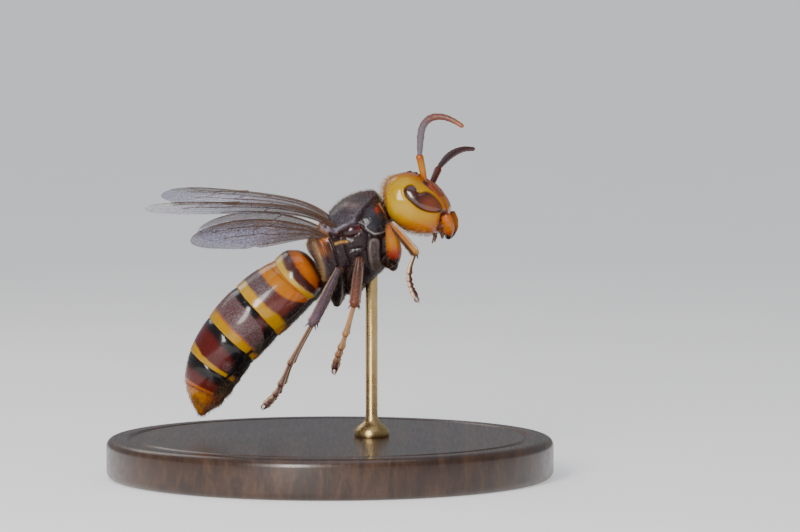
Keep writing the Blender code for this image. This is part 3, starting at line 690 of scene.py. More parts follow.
def wing_finish():
    """Thin smoky film: see-through, finely crinkled, with lavender sheen and silvery glints painted into its
    colour over the crinkles.
    """
    f = Finish("wing film", IOR=1.56, Coat_Weight=0.6, Coat_Roughness=0.10)
    out = f.field("down")
    across = f.field("across")
    streak = f.noise(1.0, 4.0, 0.5, at=f.flat(across * 26.0, out * 5.0))
    crinkle = f.noise(1.0, 5.0, 0.65, at=f.flat(across * 34.0, out * 46.0))
    cloud = f.noise(1.6)
    smoke = f.ramp(streak,
                   (0.3, (0.048, 0.028, 0.022)), (0.55, (0.10, 0.068, 0.062)), (0.75, (0.20, 0.16, 0.17)))
    front = f.spread(across, 0.0, 0.10, 1.0, 0.0) * f.spread(out, 0.05, 0.3)
    base = f.mix(front * 0.6, smoke, (0.11, 0.045, 0.020))
    hind = f.spread(across, 0.15, 0.55) * f.spread(out, 0.1, 0.4)
    # Painted sheen and glints: lavender and silver mixed into the film's colour
    sheen = f.spread(crinkle + hind * 0.10, 0.48, 0.62) * (hind * 0.70 + 0.16)
    base = f.mix(sheen, base, (0.46, 0.46, 0.64))
    glint = f.spread(streak * 0.6 + crinkle * 0.4, 0.575, 0.63)
    base = f.mix(glint * 0.85, base, (0.68, 0.70, 0.90))
    alpha = f.spread(streak, 0.25, 0.8, 0.44, 0.62) + front * 0.2 + (cloud - 0.5) * 0.12
    alpha = alpha + sheen * 0.12 + glint * 0.25
    normal = f.bump(streak, 0.05, Normal=f.bump(crinkle, 0.03, Normal=f.bump(f.noise(0.09, 2.0), 0.012)))
    return f.done(Base_Color=base, Alpha=alpha.clamped(), Roughness=f.spread(cloud, 0.3, 0.7, 0.20, 0.34),
                  Normal=normal)


def hair_finish():
    f = Finish("fine hair", IOR=1.5)
    fine = f.noise(0.3, 2.0)
    return f.done(Base_Color=f.mix(f.spread(fine, 0.3, 0.7, 0.0, 0.3), f.markings(), (0.36, 0.22, 0.10)),
                  Roughness=f.spread(fine, 0.2, 0.8, 0.35, 0.55))


def wood_finish():
    """Dark stained hardwood under satin lacquer, with its grain along Y."""
    f = Finish("stained wood", IOR=1.5, Coat_Weight=0.35, Coat_Roughness=0.18)
    stretched = f.node("ShaderNodeMapping", {}, {"Vector": f.place, "Scale": (1.0, 0.05, 0.35)})
    figure = f.noise(2.0, 5.0, 0.5, 1.2, stretched)
    pores = f.noise(1 / 3.5, 3.0, 0.5, at=stretched)
    base = f.ramp(figure * 0.8 + pores * 0.3,
                  (0.38, (0.022, 0.010, 0.006)), (0.55, (0.042, 0.019, 0.010)), (0.72, (0.070, 0.033, 0.016)))
    return f.done(Base_Color=base, Roughness=f.spread(pores, 0.3, 0.7, 0.30, 0.44),
                  Normal=f.bump(pores, 0.012))


def metal_finish():
    """Brushed brass, with fine rings left by the lathe."""
    f = Finish("turned brass", Metallic=1.0)
    rings = f.node("ShaderNodeTexWave", dict(wave_type="BANDS", bands_direction="Z"),
                   {"Vector": f.place, "Scale": 4.0, "Distortion": 1.5, "Detail": 2.0})
    cloud = f.noise(2.5, 4.0)
    return f.done(Base_Color=f.ramp(cloud, (0.3, (0.50, 0.34, 0.14)), (0.7, (0.66, 0.48, 0.22))),
                  Roughness=f.spread(cloud, 0.3, 0.7, 0.20, 0.36), Normal=f.bump(rings, 0.006))


def drifting_finish(name, size, stops, rough, depth, **constants):
    """A finish whose tone and gloss drift over soft noise, with a bump of this depth if there is one."""
    f = Finish(name, **constants)
    fine = f.noise(size)
    if depth:
        f.done(Normal=f.bump(fine, depth))
    return f.done(Base_Color=f.ramp(fine, *stops), Roughness=f.spread(fine, 0.3, 0.7, *rough))


FINISHES = {
    "head": shell_finish("head shell", 0.20, 0.006, 0.14, vary=0.08, coat=0.4, polish=0.09, ior=1.27),
    "thorax": shell_finish("thorax shell", 0.22, 0.020, 0.20, vary=0.25, coat=0.12, polish=0.10, ior=1.30),
    "gaster": shell_finish("gaster shell", 0.21, 0.006, 0.12, vary=0.14, coat=0.4, polish=0.11, ior=1.36),
    "leg": shell_finish("leg shell", 0.28, 0.014, 0.12, vary=0.22, coat=0.2, ior=1.36),
    "jaw": shell_finish("jaw shell", 0.30, 0.014, 0.16, vary=0.15, polish=0.2, ior=1.38),
    "eye": eye_finish(),
    "feeler": feeler_finish(),
    "wing": wing_finish(),
    "vein": drifting_finish("wing veins", 0.2, ((0.3, (0.045, 0.021, 0.013)), (0.7, (0.15, 0.080, 0.050))),
                            (0.25, 0.42), 0.01, IOR=1.5, Coat_Weight=0.2),
    "hair": hair_finish(),
    "horn": drifting_finish("claw horn", 0.25, ((0.3, (0.012, 0.005, 0.004)), (0.75, (0.09, 0.024, 0.010))),
                            (0.2, 0.38), 0.008, IOR=1.5, Coat_Weight=0.3),
    "wood": wood_finish(),
    "metal": metal_finish(),
    "floor": drifting_finish("pale floor", 60.0, ((0.3, (0.80, 0.79, 0.78)), (0.7, (0.84, 0.83, 0.82))),
                             (0.7, 0.8), 0.0, Emission_Color=(0.93, 0.94, 0.96), Emission_Strength=0.52),
}


# Hair

def coat_of_hair(name, roots, out, length, width, tones, unwrapped, slot):
    """One piece of many tapered, bent hairs, each with its patch of the unwrap at its root's place."""
    count = len(roots)
    side = unit(np.cross(out, chance.normal(size=(count, 3))))
    other = np.cross(out, side)
    bend = side * (chance.normal(size=count) * 0.16)[:, None]
    width = np.broadcast_to(width, count)
    levels = ((-0.12, 1.0), (0.55, 0.72))
    turns = (0.0, 2 * pi / 3, 4 * pi / 3)
    corners = []
    patch = []
    for share, thick in levels:
        middle = roots + out * (length * share)[:, None] + bend * (length * share * share)[:, None]
        for turn in turns:
            corners.append(middle + (side * cos(turn) + other * sin(turn)) * (width * thick)[:, None])
            patch.append((HAIR_PATCH * cos(turn) * thick, HAIR_PATCH * sin(turn) * thick))
    corners.append(roots + out * length[:, None] + bend * length[:, None])
    patch.append((0.0, 0.0))
    spots = np.stack(corners, axis=1)
    pattern = [(0, 1, 4, 3), (1, 2, 5, 4), (2, 0, 3, 5), (3, 4, 6), (4, 5, 6), (5, 3, 6), (2, 1, 0)]
    each = len(patch)
    faces = [tuple(first + i for i in face) for first in range(0, count * each, each) for face in pattern]
    mesh = bpy.data.meshes.new(name)
    mesh.from_pydata((spots.reshape(-1, 3) * MM).tolist(), [], faces)
    piece = bpy.data.objects.new(name, mesh)
    bpy.context.scene.collection.objects.link(piece)
    mesh.shade_smooth()
    tint(piece, np.repeat(tones, each, axis=0))
    corner_of = np.empty(len(mesh.loops), np.int32)
    mesh.loops.foreach_get("vertex_index", corner_of)
    layer = mesh.uv_layers.new(name="OFBake")
    flat = unwrapped[corner_of // each] + np.array(patch)[corner_of % each]
    layer.data.foreach_set("uv", flat.astype(np.float32).ravel())
    return finished(piece, "hair", slot)


def scatter(piece, count, want):
    """Random roots on a piece, thicker where want is high, with their normals, markings and unwrap."""
    mesh = piece.data
    mesh.calc_loop_triangles()
    corners = np.empty(len(mesh.loop_triangles) * 3, np.int32)
    mesh.loop_triangles.foreach_get("vertices", corners)
    corners = corners.reshape(-1, 3)
    spots = places(piece)
    normals = facing(piece)
    tones = tinted(piece)
    across = noted(piece, "across")
    down = noted(piece, "down")
    a, b, c = (spots[corners[:, k]] for k in range(3))
    area = np.linalg.norm(np.cross(b - a, c - a), axis=1) / 2
    weight = area * np.maximum(want[corners].mean(axis=1), 0.0)
    picked = chance.choice(len(corners), size=count, p=weight / weight.sum())
    shares = chance.random((count, 2))
    flip = shares.sum(axis=1) > 1.0
    shares[flip] = 1.0 - shares[flip]
    shares = np.column_stack((1 - shares.sum(axis=1), shares))

    def at(values):
        return (values[corners[picked]] * shares[..., None]).sum(axis=1)

    nearest = corners[picked, 0]
    unwrapped = np.column_stack((across[nearest], down[nearest])) * 0.99 + 0.005
    return at(spots), unit(at(normals)), at(tones), unwrapped


def lying(normals, way, stand, spread=0.25):
    """Directions of hairs that lean from the surface towards a way."""
    way = np.broadcast_to(np.asarray(way, float), normals.shape)
    flat = unit(way - normals * (way * normals).sum(axis=1)[:, None])
    return unit(normals * stand + flat * (1.0 - stand) + chance.normal(size=normals.shape) * spread)


# Head

def head_reach(angles):
    """How far the outline of the head lies from the cheek in each direction."""
    outline = round_curve(HEAD_OUTLINE, 720) - np.array(CHEEK)
    found = np.arctan2(outline[:, 1], outline[:, 0])
    order = np.argsort(found)
    return np.interp(angles, found[order], np.hypot(*outline[order].T), period=2 * pi)


def from_cheek(x, z):
    """Direction of side-view places from the cheek, and their distance as a share of the outline's."""
    angle = np.arctan2(z - CHEEK[1], x - CHEEK[0])
    return angle, np.hypot(x - CHEEK[0], z - CHEEK[1]) / head_reach(angle)


def cheek_depth(x, z):
    """How far out the side of the head lies at a place of the side view."""
    size = np.clip(from_cheek(x, z)[1], 0.0, 0.999)
    return HEAD_HALF_WIDTH * (1 - size ** HEAD_BOXINESS) ** (1 / HEAD_BOXINESS)


def on_head(directions):
    """Places on the plain head in each direction from its middle."""
    dx, dy, dz = directions.T
    flat = np.hypot(dx, dz)
    angle = np.arctan2(dz, dx)
    size = (np.abs(dy) ** HEAD_BOXINESS + flat ** HEAD_BOXINESS) ** (-1 / HEAD_BOXINESS)
    reach = head_reach(angle) * flat * size
    return np.column_stack((CHEEK[0] + reach * np.cos(angle), HEAD_HALF_WIDTH * dy * size,
                            CHEEK[1] + reach * np.sin(angle)))


def head_shape(spots):
    """Where spots lie between the middle of the head at 0 and its surface at 1."""
    size = from_cheek(spots[:, 0], spots[:, 2])[1]
    out = np.abs(spots[:, 1] / HEAD_HALF_WIDTH)
    return (size ** HEAD_BOXINESS + out ** HEAD_BOXINESS) ** (1 / HEAD_BOXINESS)


TO_NECK = Matrix.Translation(Vector((NECK[0], 0.0, 0.0)) * MM)
HEAD_MATRIX = TO_NECK @ Matrix.Rotation(radians(HEAD_TURN), 4, "Z") @ TO_NECK.inverted()


def straight(point):
    """A place of the turned head, as it lies before the head turns."""
    return np.array(HEAD_MATRIX.inverted() @ (Vector(point) * MM)) / MM


def socket_of(word):
    """Where the feeler of one side leaves the head, before the head turns."""
    scape = np.array([straight(p) for p in FEELERS[word][0]])
    way = curve(scape, np.linspace(0.0, 2.0, 200))
    return way[np.argmin(np.abs(head_shape(way) - 1.0))]


def make_head():
    """The whole head shell as one skin, from a cube divided and rounded."""
    bpy.ops.mesh.primitive_cube_add(size=2.0)
    head = named("head_shell")
    with editing():
        bpy.ops.mesh.subdivide(number_cuts=HEAD_CUTS)
    bpy.ops.object.shade_smooth()
    directions = unit(np.tan(places(head) * MM * pi / 4))
    put(head, on_head(directions))
    note(head, across=np.arctan2(directions[:, 2], directions[:, 0]) / (2 * pi) + 0.5,
         down=np.arccos(np.clip(directions[:, 1], -1.0, 1.0)) / pi)
    spots = places(head)
    x, y, z = spots.T
    side_view = spots[:, [0, 2]]
    eye = inside_outline(side_view, round_curve(EYE_OUTLINE, 96))
    eye = np.where(np.abs(y) > 1.5, eye, -FAR_OFF)
    relief = -0.34 * rise(eye, -0.02, 0.16) + 0.05 * bell(eye + 0.22, 0.12)
    paint = Paint(YELLOW)
    angle, edge = from_cheek(x, z)
    angle = np.degrees(angle)
    # A lemon-yellow patch painted where the highlight falls on the cheek: painted light
    paint((0.44, 0.275, 0.0001), 0.9 * bell(np.hypot(x - 9.0, z - 34.9), 2.3))
    paint(ORANGE, 0.9 * rise(edge, 0.78, 1.0))
    paint(ORANGE, 0.45 * rise(x, 12.2, 14.4) * (z < 33.4))
    low = rise(33.0 - z, 0.0, 1.8)
    paint(ORANGE, 0.85 * low)
    paint((0.20, 0.010, 0.001), 0.9 * rise(32.0 - z, 0.3, 1.5) * rise(edge, 0.8, 1.0))
    # Face shield between the eyes, its edge a groove that meets the sockets of the feelers above
    shield_edge = 1.55 + 0.45 * rise(34.4 - z, 0.0, 2.2) - 0.75 * rise(z, 34.6, 35.9)
    on_face = (angle > -32) & (angle < 30) & (x > 11.5)
    shield = np.where(on_face, shield_edge - np.abs(y), -FAR_OFF)
    relief += np.where(on_face, 0.11 * rise(shield, -0.05, 0.35), 0.0)
    top_edge = bell(angle - 22.0, 1.6) * (np.abs(y) < 1.05)
    shield_line = np.where(on_face & (angle < 22), bell(shield, 0.09), 0.0)
    relief -= 0.10 * np.maximum(shield_line, top_edge)
    paint(DEEP_ORANGE, 0.7 * np.maximum(shield_line, top_edge))
    # Sockets of the feelers, darkened in and round them with painted shade
    for _, word in SIDES:
        far = np.linalg.norm(spots - socket_of(word), axis=1)
        relief += 0.09 * bell(far - 0.82, 0.14) - 0.42 * fall(far, 0.35, 0.74)
        paint(RUST, 0.95 * fall(far, 0.55, 0.95))
        paint(DEEP_ORANGE, 0.6 * fall(far, 0.9, 1.5))
    # Pit that runs forward from each socket, painted dark as shade, and the red ridge between it and the face
    # shield
    beside = rise(np.abs(y), 0.7, 1.1) * fall(np.abs(y), 2.2, 2.8)
    pit = off_line(side_view, FEELER_PIT)
    relief -= 0.30 * bell(pit, 0.26, 4) * beside
    paint((0.055, 0.006, 0.003), 0.97 * bell(pit, 0.30, 4) * beside)
    ridge = off_line(side_view, BROW_RIDGE)
    relief += 0.10 * bell(ridge, 0.25) * beside
    paint((0.24, 0.022, 0.001), 0.85 * bell(ridge, 0.34, 4) * rise(np.abs(y), 0.5, 0.9))
    # Furrow down the brow, and the crown with its three simple eyes
    brow = (x > 10.7) & (angle > 26)
    furrow = np.where(brow, bell(y, 0.10) * rise(x, 10.7, 11.2), 0.0)
    relief -= 0.10 * furrow
    paint(DEEP_ORANGE, 0.6 * furrow)
    for ox, oy in OCELLI:
        far = np.where(z > 36.0, np.hypot(x - ox, y - oy), FAR_OFF)
        relief -= 0.06 * bell(far - 0.34, 0.10)
        paint(RUST, 0.85 * fall(far, 0.28, 0.52))
    crown = np.where(z > 36.5, np.hypot((x - 10.0) / 1.25, y / 1.3), FAR_OFF)
    paint(DEEP_ORANGE, 0.4 * fall(crown, 0.5, 1.0))
    # Seam between cheek and jaw, and the rim behind the head
    seam = np.where(np.abs(y) > 1.2, bell(off_line(side_view, JAW_SEAM), 0.13), 0.0)
    relief -= 0.14 * seam
    paint(RUST, 0.8 * seam)
    notch = np.where(np.abs(y) > 1.4, np.hypot(x - JAW_SEAM[0][0], z - JAW_SEAM[0][1]), FAR_OFF)
    paint(RUST, 0.9 * fall(notch, 0.22, 0.5))
    relief -= 0.16 * fall(notch, 0.1, 0.45)
    rim = rise(8.1 - x, 0.0, 0.9)
    relief += 0.05 * bell(x - 7.75, 0.16)
    paint(DEEP_ORANGE, 0.65 * rim)
    paint(RUST, 0.9 * rise(2.6 - np.hypot(y, z - NECK[1]), 0.0, 0.8) * (x < 8.6))
    eye_line = bell(eye + 0.02, 0.10)
    paint(RUST, 0.85 * np.maximum(eye_line, rise(eye, -0.02, 0.1)))
    relief += 0.012 * ripple(spots, 1.1)
    tint(head, paint.colours)
    note(head, dull=0.25 * rim)
    press(head, relief)
    head.data.transform(HEAD_MATRIX)
    finished(head, "head", "head_shell", "head")
    return head


def make_ocelli():
    """The three simple eyes on the crown."""
    beads = []
    for ox, oy in OCELLI:
        angle = np.linspace(radians(50), radians(110), 200)
        grid = on_head(np.column_stack((np.cos(angle), np.full(200, oy / HEAD_HALF_WIDTH), np.sin(angle))))
        spot = grid[np.argmin(np.abs(grid[:, 0] - ox))]
        bpy.ops.mesh.primitive_uv_sphere_add(segments=20, ring_count=12, radius=OCELLUS_RADIUS * MM,
                                             location=spot * MM)
        with editing():
            bpy.ops.transform.resize(value=(1.0, 1.0, 0.5), center_override=tuple(spot * MM))
        bpy.ops.object.shade_smooth()
        beads.append(settled(bpy.context.object))
    piece = join("ocelli", beads)
    piece.data.transform(HEAD_MATRIX)
    tint(piece, WINE)
    finished(piece, "eye", "compound_eye")


def make_eye(side, word):
    """A kidney-shaped lens that stands a little proud of its socket."""
    outline = round_curve(EYE_OUTLINE, EYE_COLUMNS)
    outline = np.vstack((outline, outline[:1]))
    middle = np.array(EYE_MIDDLE)
    shares = np.linspace(0.0, 1.0, EYE_ROWS)
    front = [(t, EYE_BULGE * (1 - t ** 2.3) ** 0.55 - 0.14 * rise(t, 0.93, 1.0)) for t in shares]
    back = [(t, -0.55) for t in (0.985, 0.9, 0.6, 0.3, 0.0)]
    rows = []
    for t, height in front + back:
        flat = middle + (outline - middle) * t
        x, z = flat.T
        y = cheek_depth(x, z)
        step = 0.02
        slope_x = (cheek_depth(x + step, z) - cheek_depth(x - step, z)) / (2 * step)
        slope_z = (cheek_depth(x, z + step) - cheek_depth(x, z - step)) / (2 * step)
        normal = unit(np.column_stack((-slope_x, np.ones(len(x)), -slope_z)))
        spots = np.column_stack((x, y, z)) + normal * height
        spots[:, 1] *= side
        rows.append(spots)
    eye = wrap("eye_%s_lens" % word, np.array(rows))
    spots = places(eye)
    paint = Paint((0.030, 0.006, 0.005))
    low = rise(spots[:, 0], 11.4, 13.2) * rise(35.4 - spots[:, 2], -0.4, 0.6)
    paint((0.16, 0.034, 0.010), low)
    far = noted(eye, "down") * (len(rows) - 1) / (EYE_ROWS - 1)
    paint(WINE, 0.8 * rise(far, 0.8, 1.0))
    tint(eye, paint.colours)
    eye.data.transform(HEAD_MATRIX)
    finished(eye, "eye", "compound_eye", "eye_" + word)


def make_mandible(side, word):
    """A broad curved jaw with black teeth along its inner edge."""
    steps = np.linspace(0.0, len(MANDIBLE) - 1, JAW_ROWS)
    spots = curve(MANDIBLE, steps)
    way = spots[:, :3] * np.array((1.0, side, 1.0))
    along = unit(np.gradient(way, axis=0))
    wide = np.array((1.0, side * 0.3, 0.0))
    wide = unit(wide - along * (along @ wide)[:, None])
    thin = np.cross(along, wide)
    turns = once_round(JAW_COLUMNS)
    inner = np.clip(-np.cos(turns), 0.0, 1.0) ** 3
    teeth = rise(steps, 2.7, 3.2) * (0.5 + 0.5 * np.cos(2 * pi * (steps - 2.9) / 0.62)) * 0.38
    grow = 1.0 + teeth[:, None] * inner[None, :]
    end = np.sqrt(np.clip(1 - rise(steps, 4.55, 5.0) ** 2, 0.0, 1.0))
    start = np.sqrt(np.clip(rise(steps, 0.0, 0.4), 0.0, 1.0))
    breadth = (spots[:, 3] * end * start)[:, None] * grow
    thickness = (spots[:, 4] * end * start)[:, None]
    grid = (way[:, None] + wide[:, None] * (breadth * np.cos(turns))[..., None]
            + thin[:, None] * (thickness * np.sin(turns))[..., None])
    jaw = wrap("mandible_%s_blade" % word, grid)
    down = noted(jaw, "down")
    paint = Paint(ORANGE)
    paint((0.36, 0.115, 0.002), 0.6 * rise(down, 0.25, 0.4) * fall(down, 0.5, 0.6))
    paint(DEEP_ORANGE, 0.7 * rise(down, 0.50, 0.66))
    paint(BLACK, rise(down + 0.04 * ripple(places(jaw), 0.5), 0.66, 0.78))
    paint(RUST, 0.9 * fall(down, 0.06, 0.14))
    tint(jaw, paint.colours)
    press(jaw, 0.02 * ripple(places(jaw), 0.5))
    jaw.data.transform(HEAD_MATRIX)
    finished(jaw, "jaw", "mandible", "mandible_" + word)


def make_mouth():
    """Lip and palps, folded under the face between the jaws."""
    parts = [tube("lip", ((13.4, 0.0, 31.6, 0.5), (14.0, 0.0, 30.9, 0.75), (14.1, 0.0, 30.3, 0.45)),
                  rows=20, towards=(0, 1, 0), wide=1.7, high=0.5)]
    for side, _ in SIDES:
        for out, reach in ((0.9, 1.0), (0.45, 0.7)):
            stations = ((12.9, side * out, 31.0, 0.13), (13.2, side * (out + 0.3), 30.3, 0.12),
                        (13.0, side * (out + 0.2), 30.3 - 0.8 * reach, 0.09))
            parts.append(tube("palp", stations, rows=24, columns=10,
                              swell=lambda t: 1.0 + 0.22 * np.cos(2 * pi * t * 1.5)))
    mouth = join("mouthparts", parts)
    tint(mouth, mixed(BROWN, DEEP_ORANGE, 0.6 * rise(places(mouth)[:, 2], 30.4, 31.4)))
    mouth.data.transform(HEAD_MATRIX)
    finished(mouth, "jaw", "mandible")


def make_feeler(word):
    """Scape, pedicel and ringed flagellum of one feeler."""
    scape, flagellum = FEELERS[word]
    stem = "antenna_" + word
    stations = [(*p, SCAPE_RADIUS * thick) for p, thick in zip(scape, (0.7, 0.92, 1.06))]
    piece = tube(stem + "_scape_shell", stations, rows=36)
    down = noted(piece, "down")
    paint = Paint(ORANGE)
    paint(YELLOW, 0.5 * rise(down, 0.35, 0.6) * fall(down, 0.7, 0.9))
    paint(RUST, 0.85 * fall(down, 0.24, 0.34))
    # The far feeler lies in shade, so its scape is painted dark red all over: painted shade
    if word == "left":
        paint((0.07, 0.006, 0.003), 0.92)
    tint(piece, paint.colours)
    finished(piece, "leg", "antenna", stem + "_scape")
    top = np.array(scape[-1])
    start = np.array(flagellum[0])
    bead = tube(stem + "_pedicel", ((*(top - (start - top) * 0.2), 0.30), (*((top + start) / 2), 0.34),
                                    (*(start + (start - top) * 0.3), 0.28)), rows=14)
    tint(bead, RUST)
    finished(bead, "feeler", "antenna")
    last = len(flagellum) - 1
    stations = []
    for i, p in enumerate(flagellum):
        taper = 0.74 + 0.30 * min(1.0, 6 * i / last) - 0.42 * max(0.0, i / last - 0.5) / 0.5
        stations.append((*p, FLAGELLUM_RADIUS * taper))

    def rings(t):
        part = (t / last * FLAGELLUM_JOINTS) % 1.0
        return 0.95 + 0.07 * rise(part, 0.0, 0.7) - 0.07 * rise(part, 0.86, 1.0)

    piece = tube(stem + "_flagellum_rings", stations, rows=FLAGELLUM_JOINTS * 14, columns=20, swell=rings)
    down = noted(piece, "down")
    paint = Paint((0.12, 0.095, 0.115))
    paint((0.14, 0.036, 0.015), rise(down, 0.32, 0.60))
    paint((0.30, 0.085, 0.020), rise(down, 0.75, 0.95))
    part = (down * FLAGELLUM_JOINTS) % 1.0
    paint(RUST, 0.5 * bell(part - 0.97, 0.06))
    # The far flagellum is painted nearly black all over: painted shade
    if word == "left":
        paint((0.030, 0.004, 0.003), 0.92)
    tint(piece, paint.colours)
    finished(piece, "feeler", "antenna", stem + "_flagellum")


# Thorax

def body_grid(cuts, count):
    """Rows of places round cuts through the body, from the top round by the left side."""
    cuts = np.asarray(cuts, float)
    top = np.column_stack((cuts[:, 0], np.zeros(len(cuts)), cuts[:, 1]))
    bottom = np.column_stack((cuts[:, 2], np.zeros(len(cuts)), cuts[:, 3]))
    up = (top - bottom) / 2
    middle = (top + bottom) / 2
    turns = once_round(count)
    boxiness = cuts[:, 5][:, None]
    c = np.cos(turns)[None]
    s = np.sin(turns)[None]
    reach = (np.abs(c) ** boxiness + np.abs(s) ** boxiness) ** (-1 / boxiness)
    grid = middle[:, None] + up[:, None] * (c * reach)[..., None]
    grid[..., 1] += cuts[:, 4][:, None] * s * reach
    return grid


def capped(grid):
    """The rows of a grid with rows added that close each end inwards."""
    def cap(row, inner):
        middle = row[:-1].mean(axis=0)
        out = middle - inner[:-1].mean(axis=0)
        out = out / np.linalg.norm(out) * np.linalg.norm(row[0] - middle) * 0.12
        angles = np.linspace(pi / 2, 0, CAP_ROWS, endpoint=False)
        return [middle + (row - middle) * cos(a) + out * sin(a) for a in angles]

    return np.concatenate((cap(grid[0], grid[1]), grid, cap(grid[-1], grid[-2])[::-1]))


# Grooves between the plates of the thorax, seen from the side as (x, z)
SCUTUM_EDGE = ((-0.5, 32.6), (-0.15, 31.9), (0.35, 31.2), (0.8, 30.95), (1.6, 31.3), (2.4, 31.65),
               (3.1, 31.95), (3.75, 32.9), (4.4, 33.8), (5.0, 34.4), (5.7, 35.0))
LOBE_EDGE = ((3.3, 32.0), (3.9, 31.75), (4.4, 31.2), (4.8, 30.85), (5.5, 30.45), (6.4, 30.55), (7.1, 30.9))
FLUFF = ((5.55, 29.5), (5.5, 28.5), (5.6, 27.4), (5.8, 26.5))
WING_PIT = ((0.9, 30.7), (2.1, 31.2), (3.2, 31.4))
WING_STREAK = ((0.75, 29.45), (1.5, 29.7), (2.2, 29.75))
# Every groove pressed into its side, as a line, a depth and a width
SEAM_LINES = (
    (SCUTUM_EDGE, 0.22, 0.14), (LOBE_EDGE, 0.24, 0.13),
    (((1.7, 30.1), (2.1, 28.6), (2.6, 27.2), (3.2, 25.2)), 0.20, 0.13),
    (((0.1, 30.0), (0.7, 28.4), (1.1, 26.6), (1.6, 24.4)), 0.20, 0.13),
    (((4.8, 30.6), (4.7, 29.0), (4.9, 27.4), (5.4, 26.0)), 0.18, 0.13),
    (((2.1, 28.6), (3.2, 28.9), (4.7, 29.0)), 0.12, 0.13), (WING_PIT, 0.32, 0.30),
)
# Seams across the back, each as a step down the thorax, a depth and how far round it reaches in degrees
BACK_SEAMS = ((6.05, 0.26, 62), (6.75, 0.18, 62), (7.2, 0.20, 100), (1.75, 0.16, 40))
HIND_RIM = ((-1.9, 29.9), (-1.7, 29.0), (-1.25, 27.8), (-0.8, 26.3), (-0.5, 24.9))
COLLAR_LINE = ((6.1, 34.3), (6.6, 33.3), (7.2, 32.0), (7.35, 30.6))
# Lilac of the sky's sheen, painted along the scutum's lower edge
LILAC_SHEEN = (0.165, 0.145, 0.195)


